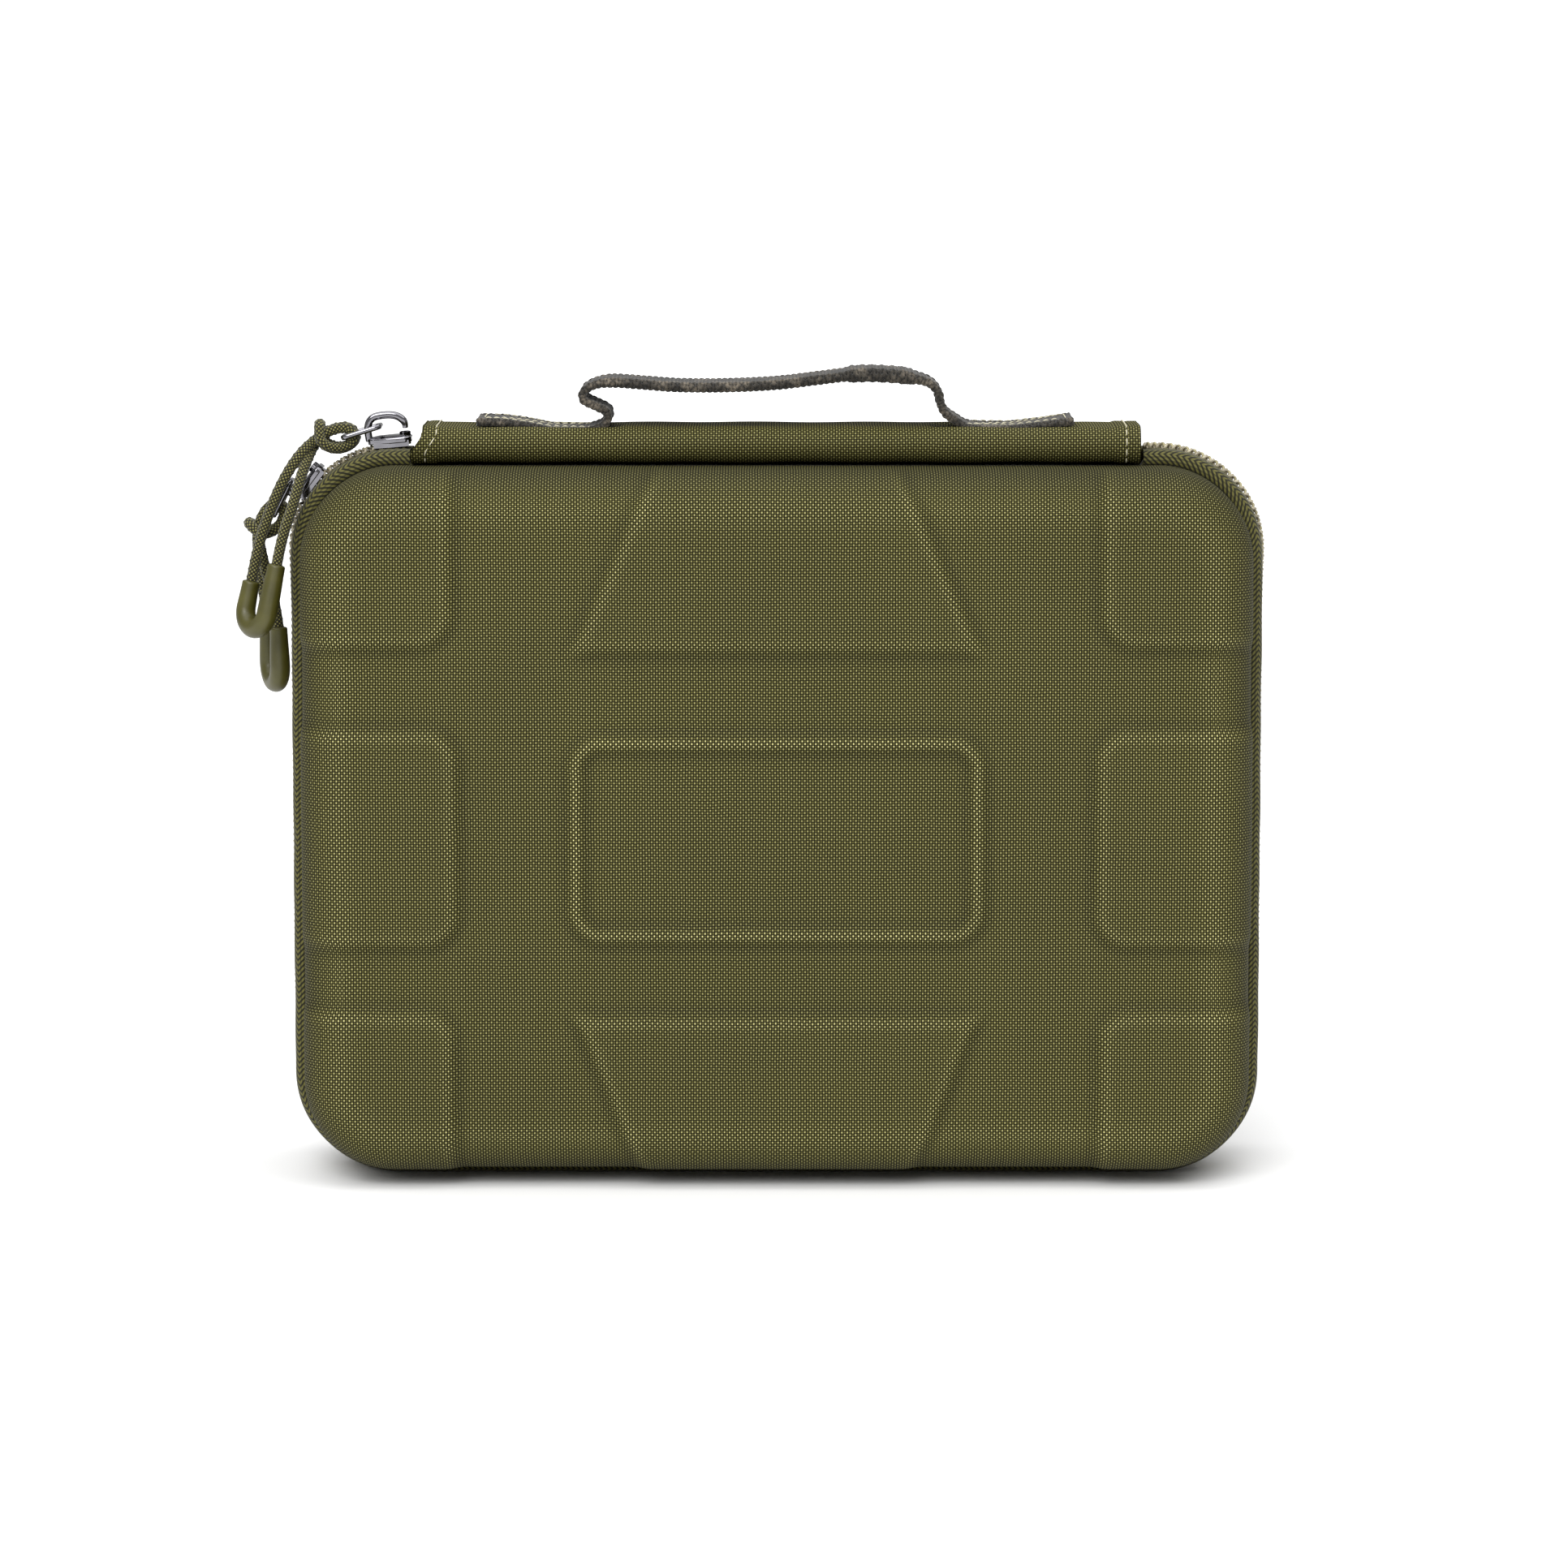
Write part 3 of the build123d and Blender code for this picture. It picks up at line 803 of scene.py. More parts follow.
def spine_end(sign, z):
    """Where the spine ends at a height: its top left corner is cut on a slant."""
    lean = 3.6 * MM * smooth_step((z - (HINGE_HEIGHT - 3 * MM)) / (7 * MM)) if sign < 0 else 0.6 * MM
    return sign * (SPINE_HALF - lean)


def spine_lift(x, y):
    """The cloth's own unevenness: slack between seams, thicker hems and a dip under the handle's ends."""
    slack = 0.16 * MM * np.sin(x / (11 * MM)) * np.cos(y / (7 * MM))
    slack = slack + 0.10 * MM * np.sin(x / (5.3 * MM) + 2 * y / (9 * MM))
    hem = 0.40 * MM * smooth_step((np.abs(x) - (SPINE_HALF - 8.6 * MM)) / (1.0 * MM))
    groove = -0.22 * MM * np.exp(-(((np.abs(x) - (SPINE_HALF - HEM_SEAM)) / (0.55 * MM)) ** 2))
    under_left, under_right = (
        smooth_step((x - low[0] + 4 * MM) / (5 * MM)) * smooth_step((high[0] + 4 * MM - x) / (5 * MM))
        for low, high in ((end_left_low, end_left_high), (end_right_low, end_right_high))
    )
    dip = -0.9 * MM * (under_left + under_right) * smooth_step((HINGE_Y + 1 * MM - np.abs(y)) / (3 * MM))
    return slack + hem + groove + dip


def spine_strip(name, t_low, t_high, radius, material, rough_cloth=True):
    """A strip of the spine's sleeve between two places on its section, over its full length."""
    ts = np.linspace(t_low, t_high, 90)
    y, z, s = stadium(ts, radius)
    ny, nz = section_normals(y, z)
    columns = np.linspace(-1, 1, 300)
    rows = []
    for a, b, n1, n2 in zip(y, z, ny, nz):
        left, right = spine_end(-1, b), spine_end(1, b)
        x = left + (right - left) * (columns + 1) / 2
        lift = spine_lift(x, np.full(len(x), a)) if rough_cloth else np.zeros(len(x))
        rows.append(np.stack([x, a + n1 * lift, b + n2 * lift], axis=1))
    outer = np.stack(rows)
    inner = outer.copy()
    inner[:, :, 1] -= ny[:, None] * CLOTH_THICKNESS
    inner[:, :, 2] -= nz[:, None] * CLOTH_THICKNESS
    # The section runs outer face, then back along the inner face, so every edge is closed.
    loop = np.concatenate([outer, inner[::-1]])
    count = len(loop)
    vertices = loop.reshape(-1, 3)
    faces = grid_faces(count, len(columns), wrap_rows=True)
    for column in (0, len(columns) - 1):
        for i in range(len(ts) - 1):
            a = i * len(columns) + column
            b = (i + 1) * len(columns) + column
            c = (count - 2 - i) * len(columns) + column
            d = (count - 1 - i) * len(columns) + column
            faces.append((a, b, c, d) if column else (a, d, c, b))
    lengths = np.concatenate([s, s[::-1]])
    uvs = np.stack([vertices[:, 0], np.repeat(lengths, len(columns))], axis=1)
    return new_mesh(name, vertices, faces, uvs, material)


HALF_ROUND = math.pi * SPINE_RADIUS
TOTAL = 4 * HINGE_Y + 2 * HALF_ROUND
REACH = 0.09 * HALF_ROUND
SLEEVE_START = 2 * REACH / TOTAL
SLEEVE_END = 2 * (2 * HALF_ROUND + 2 * HINGE_Y - REACH) / TOTAL
spine_cloth = spine_strip("spine_cloth", SLEEVE_START, SLEEVE_END, SPINE_RADIUS, case_cloth)
spine_under = spine_strip(
    "spine_under", SLEEVE_END, 2 + SLEEVE_START - 0.0001, SPINE_RADIUS - 0.3 * MM, lining_cloth, False
)


def make_core():
    """The spine's padding, closed off at both ends with cloth a little inside the sleeve."""
    ts = np.linspace(0, 2, 120, endpoint=False)
    y, z, s = stadium(ts, SPINE_RADIUS - 1.5 * MM)
    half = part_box("spine_core")[1][0]
    inner = np.linspace(-half + 3 * MM, half - 3 * MM, 40)
    xs = np.concatenate([[-half, -half + 0.6 * MM], inner, [half - 0.6 * MM, half]])
    scale = np.concatenate([[0.86, 0.96], np.ones(40), [0.96, 0.86]])
    rings = []
    for x, k in zip(xs, scale):
        rings.append(np.stack([np.full(len(ts), x), y * k, HINGE_HEIGHT + (z - HINGE_HEIGHT) * k], axis=1))
    vertices = np.concatenate(rings)
    faces = grid_faces(len(xs), len(ts), wrap_columns=True) + caps(len(xs), len(ts))
    return new_mesh("spine_padding", vertices, faces, vertices[:, [1, 2]], case_cloth)


spine_padding = make_core()


def spine_stitches():
    """Pale sewing down both hems: straight dashes over the crest and down the faces."""
    parts = []
    count = int((SLEEVE_END - SLEEVE_START) * TOTAL / 2 / (HEM_DASH + HEM_GAP))
    for sign in (-1, 1):
        for k in range(count):
            start = SLEEVE_START + 2 * ((k + 0.2) * (HEM_DASH + HEM_GAP)) / TOTAL
            ts = np.linspace(start, start + 2 * HEM_DASH / TOTAL, 6)
            y, z, _ = stadium(ts, SPINE_RADIUS)
            ny, nz = section_normals(y, z)
            x = np.array([spine_end(sign, b) - sign * HEM_SEAM for b in z])
            lift = spine_lift(x, y) + (0.05 + 0.22 * np.sin(np.linspace(0, math.pi, 6))) * MM
            parts.append(thread_piece(np.stack([x, y + ny * lift, z + nz * lift], axis=1), HEM_THREAD))
    return merged("spine_hem_stitches", parts, pale_thread)


hem_stitches = spine_stitches()


# ---------------------------------------------------------------- handle


def smooth_path(points, step):
    """A smooth line through points (Catmull-Rom), resampled to even steps."""
    points = np.asarray(points, float)
    padded = np.vstack([2 * points[0] - points[1], points, 2 * points[-1] - points[-2]])
    fine = []
    for i in range(1, len(padded) - 2):
        p0, p1, p2, p3 = padded[i - 1 : i + 3]
        for t in np.linspace(0, 1, 24, endpoint=False):
            square, cube = 2 * p0 - 5 * p1 + 4 * p2 - p3, 3 * p1 - p0 - 3 * p2 + p3
            fine.append(0.5 * ((2 * p1) + (p2 - p0) * t + square * t * t + cube * t**3))
    fine.append(padded[-2])
    return resampled(np.array(fine), step)


END_LEFT = float(end_left_low[0])
END_RIGHT = float(end_right_high[0])
STRAP_HALF = 11.4 * MM
STRAND_RADIUS = 0.62 * MM
STRAND_TURN = 5.4 * MM
STRAP_LINE = [
    (END_LEFT / MM, 234.2), (-84, 233.9), (-76, 232.8), (-69, 231.45), (-59, 231.3), (-53.0, 233.4),
    (-52.1, 236.9), (-55.6, 239.0), (-59.3, 240.9), (-59.2, 243.6), (-55.5, 245.7), (-50, 246.3), (-40, 245.6),
    (-30, 244.9), (-15, 244.9), (0, 245.6), (12, 247.0), (24, 248.4), (33, 248.4), (41, 247.6), (46.6, 246.2),
    (49.6, 243.4), (50.3, 240.4), (51.6, 237.2), (55.0, 234.6), (60, 232.2), (72, 232.0), (82, 233.1),
    (END_RIGHT / MM, 234.5),
]


def make_handle():
    """The carrying strap as one length of webbing: sewn down at both ends, folded up and over as the grip."""
    line, places = smooth_path(np.array(STRAP_LINE) * MM, 0.45 * MM)
    tangent = tangents_along(line)
    normal = np.stack([-tangent[:, 1], tangent[:, 0]], axis=1)
    grip = smooth_step((places - 58 * MM) / (6 * MM)) * smooth_step((places[-1] - 52 * MM - places) / (6 * MM))
    across_x = line[:, 0]
    bunched = smooth_step((across_x - 20 * MM) / (4 * MM)) * smooth_step((44 * MM - across_x) / (4 * MM)) * grip
    sways = 0.35 * MM * np.sin(places / (17 * MM)) + 0.2 * MM * np.sin(places / (6.1 * MM) + 1)
    ribs = np.abs(np.sin(across_x * math.pi / (3.1 * MM)))
    thick = (1.15 + 0.35 * grip + bunched * (0.5 + 0.35 * ribs)) * MM
    # Each face of the section, from edge to edge.
    across = np.linspace(-1, 1, 22)
    rings, uvs = [], []
    for (x, z), (nx, nz), s, t, sway in zip(line, normal, places, thick, sways):
        rib = 0.10 * MM * math.sin(2 * math.pi * s / (1.5 * MM))
        top = [(c * STRAP_HALF + sway, t + rib - 0.25 * MM * c**8) for c in across]
        low = [(c * STRAP_HALF + sway, -t - rib * 0.6 + 0.25 * MM * c**8) for c in across[::-1]]
        rings.append([(x + nx * d, y, z + nz * d) for y, d in top + low])
        uvs.append([(s, y) for y, _ in top + low])
    rings = np.array(rings)
    count, sides = rings.shape[:2]
    faces = grid_faces(count, sides, wrap_columns=True) + caps(count, sides, flip=True)
    parts = [(rings.reshape(-1, 3), faces, np.array(uvs).reshape(-1, 2))]
    # Braided selvedges: three strands that cross over one another along each edge.
    for side in (-1, 1):
        for strand in range(3):
            turn = 2 * math.pi * places / STRAND_TURN + strand * 2 * math.pi / 3
            lift = np.sin(turn) * thick * 0.72
            reach = (STRAP_HALF + 0.15 * MM + 0.45 * MM * np.cos(2 * turn)) * side + sways
            points = np.stack([line[:, 0] + normal[:, 0] * lift, reach, line[:, 1] + normal[:, 1] * lift], axis=1)
            parts.append(round_piece(points, STRAND_RADIUS, 7, places))
    return merged("handle_strap", parts, webbing_cloth)


handle_strap = make_handle()


BOX_PITCH, BOX_DASH = 2.6 * MM, 1.9 * MM
BOX_THREAD = 0.2 * MM
SEWN_X = [-92, -84, -76, -69, -58, 60, 72, 82, 91]
SEWN_Z = [234.2, 233.9, 232.8, 231.45, 231.3, 232.2, 232.0, 233.1, 234.5]


def handle_stitches():
    """A sewn box, with a line from corner to corner, on each end of the strap."""
    parts = []
    for low, high in ((end_left_low, end_left_high), (end_right_low, end_right_high)):
        x0, x1 = float(low[0]) + 2.2 * MM, float(high[0]) - (4 if high[0] < 0 else 2.5) * MM
        if low[0] > 0:
            x0 = float(low[0]) + 8 * MM
            x1 = float(high[0]) - 2.2 * MM
        y0, y1 = -9 * MM, 9 * MM
        corners = [(x0, y0), (x1, y0), (x1, y1), (x0, y1), (x0, y0), (x1, y1)]
        for (ax, ay), (bx, by) in zip(corners, corners[1:]):
            length = math.hypot(bx - ax, by - ay)
            for k in range(int(length / BOX_PITCH)):
                t = (np.linspace(0, BOX_DASH, 5) + (k + 0.15) * BOX_PITCH) / length
                x, y = ax + (bx - ax) * t, ay + (by - ay) * t
                z = np.interp(x / MM, SEWN_X, SEWN_Z) * MM
                lift = (1.2 + 0.22 * np.sin(np.linspace(0, math.pi, 5))) * MM
                parts.append(thread_piece(np.stack([x, y, z + lift], axis=1), BOX_THREAD))
    return merged("handle_end_stitches", parts, pale_thread)


end_stitches = handle_stitches()


# ---------------------------------------------------------------- sliders and tabs

SLIDER_ANGLES = {"a": 5.0, "b": 53.0}
TAB_ANGLES = {"a": 197.0, "b": 243.0}
TAB_PIVOT = (-2.0, 6.9)
TAB_HALF = 5.4
TAB_BEND = 1.6
BAR_PLACE = 11.55
CREST_RADIUS = CORNER + RISE


def slider_matrix(angle):
    """A slider's own frame on the zipper's crest: x along the zipper, y back, z outward."""
    a = math.radians(angle)
    outward = Vector((-math.sin(a), 0, math.cos(a)))
    along = Vector((math.cos(a), 0, math.sin(a)))
    origin = Vector((CORNER_X, 0, CORNER_Z)) + outward * CREST_RADIUS
    matrix = Matrix((along, Vector((0, 1, 0)), outward)).transposed().to_4x4()
    matrix.translation = origin
    return matrix


def tab_matrix(key):
    """A tab's own frame: x along it, y back, z outward from the case."""
    pivot = slider_matrix(SLIDER_ANGLES[key]) @ Vector((TAB_PIVOT[0] * MM, 0, TAB_PIVOT[1] * MM))
    a = math.radians(TAB_ANGLES[key])
    along = Vector((math.cos(a), 0, math.sin(a)))
    outward = Vector((0, 1, 0)).cross(along)
    matrix = Matrix((along, outward.cross(along), outward)).transposed().to_4x4()
    matrix.translation = pivot
    return matrix


def rounded(obj, width):
    """Rounds an object's edges."""
    bevel = obj.modifiers.new("round", "BEVEL")
    bevel.width = width
    bevel.segments = 3
    bevel.limit_method = "ANGLE"
    bevel.angle_limit = math.radians(40)
    obj.modifiers.new("weighted", "WEIGHTED_NORMAL")
    return obj


def plate(name, outline, z_low, z_high, dome=0.0):
    """A flat plate from an outline in millimetres, with a slightly domed top."""
    count = len(outline)
    outline = np.asarray(outline, float)
    rings = [np.column_stack([outline, np.full(count, z_low)])]
    middle = outline.mean(axis=0)
    for share, rise in ((1.0, 0.0), (0.82, 0.55), (0.55, 0.88), (0.25, 1.0)):
        rings.append(np.column_stack([middle + (outline - middle) * share, np.full(count, z_high + dome * rise)]))
    vertices = np.concatenate(rings) * MM
    faces = grid_faces(len(rings), count, wrap_columns=True) + caps(len(rings), count, flip=True)
    return new_mesh(name, vertices, faces, vertices[:, :2], polished)


def shield(half_width, nose, heel, shoulder, points=9):
    """A slider plate's outline: a rounded heel and a wider nose with soft corners."""
    r = 2.2
    narrow = half_width * 0.72
    return [
        *arc(nose - r, half_width - r, r, 0, 90, points), (shoulder, half_width),
        *arc(heel + r, narrow - r, r, 90, 180, points), *arc(heel + r, -narrow + r, r, 180, 270, points),
        (shoulder, -half_width), *arc(nose - r, -half_width + r, r, 270, 360, points),
    ]


FLANGE = [(-3.6, 3.5), (0.8, 5.0), (6.2, 5.0), (6.8, 5.7), (0.8, 5.7), (-4.2, 4.2)]
# The second slider's hook is the lower one, as the first slider's cord passes over it.
HOOK_PATHS = {
    "a": np.array([
        (-5.6, 2.4), (-5.75, 4.6), (-5.65, 6.9), (-5.0, 8.6), (-3.5, 9.75), (-1.0, 10.1), (1.6, 10.0), (3.7, 9.4),
        (5.2, 8.2), (5.8, 6.9), (5.8, 5.6),
    ]),
    "b": np.array([
        (-5.0, 2.4), (-5.05, 4.6), (-4.95, 6.7), (-4.4, 8.2), (-3.1, 9.15), (-1.0, 9.4), (1.2, 9.3), (2.9, 8.8),
        (4.1, 7.8), (4.6, 6.6), (4.6, 5.4),
    ]),
}


def make_slider(key):
    """A die-cast slider: domed top plate with side flanges, and the open hook its tab swings in."""
    matrix = slider_matrix(SLIDER_ANGLES[key])
    top = plate(f"slider_top_{key}", shield(5.9, 7.6, -6.0, 1.0), 1.4, 3.1, 0.9)
    rounded(top, 0.35 * MM)
    flanges = []
    for side in (-1, 1):
        outline = [(x, side * y) for x, y in FLANGE[::side]]
        flanges.append(rounded(plate(f"flange_{key}_{side + 1}", outline, 0.25, 2.2), 0.25 * MM))
    # The crown is an open hook over the tab's bar.
    line, places = smooth_path(HOOK_PATHS[key] * MM, 0.3 * MM)
    points = np.stack([line[:, 0], np.zeros(len(line)), line[:, 1]], axis=1)
    taper = 1 - 0.25 * smooth_step((places - places[-1] + 3 * MM) / (3 * MM))
    angles = np.linspace(0, 2 * math.pi, 20, endpoint=False)
    square = (np.abs(np.cos(angles)) ** 4 + np.abs(np.sin(angles)) ** 4) ** -0.25
    rings = []
    for p, n, b, t in zip(points, *frames_along(points), taper):
        wide, thin = 1.6 * MM * t, 1.15 * MM * t
        along_y, other = (n, b) if abs(n[1]) > abs(b[1]) else (b, n)
        rings.append([
            p + along_y * wide * q * math.cos(a) + other * thin * q * math.sin(a) for a, q in zip(angles, square)
        ])
    faces = grid_faces(len(points), len(angles), wrap_columns=True, flip=True) + caps(len(points), len(angles))
    vertices = np.array(rings).reshape(-1, 3)
    crown = new_mesh(f"slider_hook_{key}", vertices, faces, vertices[:, :2], polished)
    rounded(crown, 0.3 * MM)
    lug = plate(f"slider_lug_{key}", shield(1.9, 7.3, 3.9, 5.4, 4), 2.8, 4.5, 0.3)
    rounded(lug, 0.3 * MM)
    for obj in (top, *flanges, crown, lug):
        obj.data.transform(matrix)
        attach(obj, f"slider_{key}")
    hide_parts(f"slider_plate_{key}")
    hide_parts(f"slider_crown_{key}")


def make_tab(key):
    """A pull tab: a flat loop of metal with rounded bars at both ends."""
    far, wide = BAR_PLACE - TAB_BEND, TAB_HALF - TAB_BEND
    corners = ((far, wide, 0), (TAB_BEND, wide, 90), (TAB_BEND, -wide, 180), (far, -wide, 270))
    path = np.array([p for x, y, start in corners for p in arc(x, y, TAB_BEND, start, start + 90, 9)])
    tangent = np.roll(path, -1, axis=0) - np.roll(path, 1, axis=0)
    tangent /= np.linalg.norm(tangent, axis=1)[:, None]
    outward = np.stack([tangent[:, 1], -tangent[:, 0]], axis=1)
    angles = np.linspace(0, 2 * math.pi, 16, endpoint=False)
    square = (np.abs(np.cos(angles)) ** 3 + np.abs(np.sin(angles)) ** 3) ** (-1 / 3)
    rings = []
    for (x, y), (ox, oy) in zip(path, outward):
        # The bars at both ends are a little thicker than the sides.
        wide, thick = (0.78 - 0.08 * (1 - abs(ox))) * MM, 0.8 * MM
        rings.append([
            (x * MM + ox * wide * q * math.cos(a), y * MM + oy * wide * q * math.cos(a), thick * q * math.sin(a))
            for a, q in zip(angles, square)
        ])
    vertices = np.array(rings).reshape(-1, 3)
    faces = grid_faces(len(path), len(angles), wrap_rows=True, wrap_columns=True)
    tab = new_mesh(f"tab_loop_{key}", vertices, faces, vertices[:, :2], polished)
    tab.data.transform(tab_matrix(key))
    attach(tab, f"tab_{key}")
    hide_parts(f"pull_tab_{key}")


for key in ("a", "b"):
    make_slider(key)
    make_tab(key)


# ---------------------------------------------------------------- puller cords

HITCH_HALF = [
    (8.5, 2.0, 2.0), (2.5, 2.0, 3.5), (-2.9, 2.2, 2.4), (-3.4, 2.8, -2.4), (2.6, 4.0, -3.3), (7.4, 5.2, 0.4),
    (6.0, 2.4, 6.0),
]
STRANDS_UP = {
    "a": [(-153.4, -19.6, 190.8), (-151.9, -18.7, 199), (-148.6, -15, 208.6), (-146.2, -9.6, 218.5)],
    "b": [(-154.4, -2.8, 170), (-155.6, -2.6, 179), (-158.4, -2.4, 188)],
}
STRANDS_DOWN = {
    "a": [
        (-147.6, -6.6, 223.5), (-153, -9, 214.5), (-157.2, -10, 204), (-160.2, -10.6, 194.5), (-162, -10.6, 185),
    ],
    "b": [(-160.6, 5, 188), (-159.6, 7.8, 179), (-158.6, 8.8, 170)],
}
PULLER_LEAN = {"a": -0.21, "b": 0.03}
PULLER_STRAIGHT = 11.5 * MM
PULLER_MOUTH, PULLER_LEG, PULLER_SWELL = 1.75, 2.72, 0.38
BRAID_TURN = 10 * MM


def cord_route(key):
    """The cord's control points: up from the front mouth, through the hitch, and down to the back mouth."""
    tab = tab_matrix(key)
    hitch = HITCH_HALF + [(along, -across, out) for along, across, out in reversed(HITCH_HALF)]
    route = [Vector(p) * MM for p in STRANDS_UP[key]]
    # The tab's own y points back, and the hitch is given across to the front.
    route += [tab @ (Vector((BAR_PLACE + along, -across, out)) * MM) for along, across, out in hitch]
    route += [Vector(p) * MM for p in STRANDS_DOWN[key]]
    return route


def spline_line(name, route):
    """The smooth line of a NURBS spline with these control points."""
    curve = bpy.data.curves.new(name, "CURVE")
    curve.dimensions = "3D"
    spline = curve.splines.new("NURBS")
    spline.points.add(len(route) - 1)
    for point, place in zip(spline.points, route):
        point.co = (*place, 1)
    spline.order_u = 3
    spline.use_endpoint_u = True
    spline.resolution_u = 24
    holder = bpy.data.objects.new(name, curve)
    mesh = bpy.data.meshes.new_from_object(holder)
    line = np.array([v.co for v in mesh.vertices], float)
    bpy.data.objects.remove(holder)
    bpy.data.meshes.remove(mesh)
    return resampled(line, 0.22 * MM)


def make_cord(key):
    """One braided cord loop: a tube whose surface carries the crossing yarns of its sleeve."""
    line, places = spline_line(f"cord_line_{key}", cord_route(key))
    sides = 32
    angles = np.linspace(0, 2 * math.pi, sides, endpoint=False)
    turn = 2 * math.pi * places[:, None] / BRAID_TURN
    right = np.sin(4 * (angles[None, :] + turn))
    left = np.sin(4 * (angles[None, :] - turn))
    weave = np.maximum(right * (left > 0), left * (right > 0)) * 0.5 + 0.5 * np.abs(right * left)
    radii = CORD / 2 * (0.93 + 0.2 * weave)
    return new_mesh(f"puller_cord_{key}", *round_piece(line, radii, sides), cord_braid), line


def make_puller(key):
    """The moulded U that both ends of a cord run into."""
    route = cord_route(key)
    front, back = route[0], route[-1]
    down = Vector((PULLER_LEAN[key], 0, -1)).normalized()
    longer = (back - front).dot(down) / 2
    across = back - front - down * 2 * longer
    half = across.length / 2
    across = across.normalized()
    middle = (front + back) / 2
    points = [front - down * 0.2 * MM]
    points += [front + down * t for t in np.linspace(0, PULLER_STRAIGHT + longer, 20)]
    for a in np.linspace(0, math.pi, 40)[1:-1]:
        points.append(middle + down * (PULLER_STRAIGHT + half * math.sin(a)) - across * (half * math.cos(a)))
    points += [back + down * t for t in np.linspace(PULLER_STRAIGHT - longer, 0, 20)]
    points.append(back - down * 0.2 * MM)
    points, places = resampled(np.array([tuple(p) for p in points]), count=150)
    from_mouth = np.minimum(places, places[-1] - places)
    # Legs are a touch slimmer at their mouths, with a rounded lip, and full round the bend.
    lip = np.sqrt(np.clip(1 - (1 - np.clip(from_mouth / (0.7 * MM), 0, 1)) ** 2, 0, 1))
    body = PULLER_LEG + PULLER_SWELL * smooth_step(from_mouth / (13 * MM))
    radii = (PULLER_MOUTH + (body - PULLER_MOUTH) * lip) * MM
    seam = 1 + 0.012 * np.cos(2 * np.linspace(0, 2 * math.pi, 28, endpoint=False))[None, :] ** 9
    puller = new_mesh(f"puller_end_{key}", *round_piece(points, radii[:, None] * seam, 28), pull_plastic)
    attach(puller, f"cord_{key}")
    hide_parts(f"pull_end_{key}")
    return puller


for key in ("a", "b"):
    puller = make_puller(key)
    cord, line = make_cord(key)
    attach(cord, f"cord_{key}")
    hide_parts(f"pull_cord_{key}")


# ---------------------------------------------------------------- interior


def make_lining(name, side):
    """The cloth inside one half: walls, rounded edge and floor."""
    stations = np.linspace(0, PERIMETER, LINING_COLUMNS, endpoint=False)
    depth = FACE - RELIEF - WALL - RIM
    inner_edge = EDGE - WALL
    section = [(-0.6 * MM, 0.0), (-0.25 * MM, -0.15 * MM), (0.0, 0.0)]
    section += [(0.0, y) for y in np.arange(0.8 * MM, depth - inner_edge, 1.5 * MM)]
    for a in np.radians(np.linspace(0, 90, 13)):
        section.append((inner_edge * (1 - math.cos(a)), depth - inner_edge + inner_edge * math.sin(a)))
    inset = inner_edge
    while inset < HALF_HEIGHT - WALL - 1.5 * MM:
        inset += 1.6 * MM
        section.append((min(inset, HALF_HEIGHT - WALL - 0.5 * MM), depth))
    rows, uvs = [], []
    travelled, last = 0.0, section[0]
    for inset, forward in section:
        travelled += math.hypot(inset - last[0], forward - last[1])
        last = (inset, forward)
        total = WALL + inset
        radius = CORNER - total if inset <= inner_edge else face_radius(total, EDGE)
        xs, zs, nx, nz = outline_points(total, radius, stations)
        wave = 0.15 * MM * np.sin(xs / (13 * MM) + zs / (19 * MM))
        wave = wave + 0.1 * MM * np.sin(xs / (5 * MM) - zs / (7 * MM))
        on_floor = inset >= inner_edge
        depth_here = forward - (wave + 0.2 * MM if on_floor else 0 * wave)
        shift = 0 if on_floor else wave + 0.15 * MM
        rows.append(np.stack([xs - nx * shift, side * (RIM + depth_here), zs - nz * shift], axis=1))
        beyond = 0 if on_floor else depth - forward
        uvs.append(np.stack([xs + nx * beyond, zs + nz * beyond], axis=1))
    return new_mesh(name, *closed_over(rows, side < 0), np.concatenate([*uvs, [[0.0, CASE_MIDDLE]]]), lining_cloth)


lid_lining = make_lining("lid_lining", -1)
back_lining = make_lining("back_lining_cloth", 1)


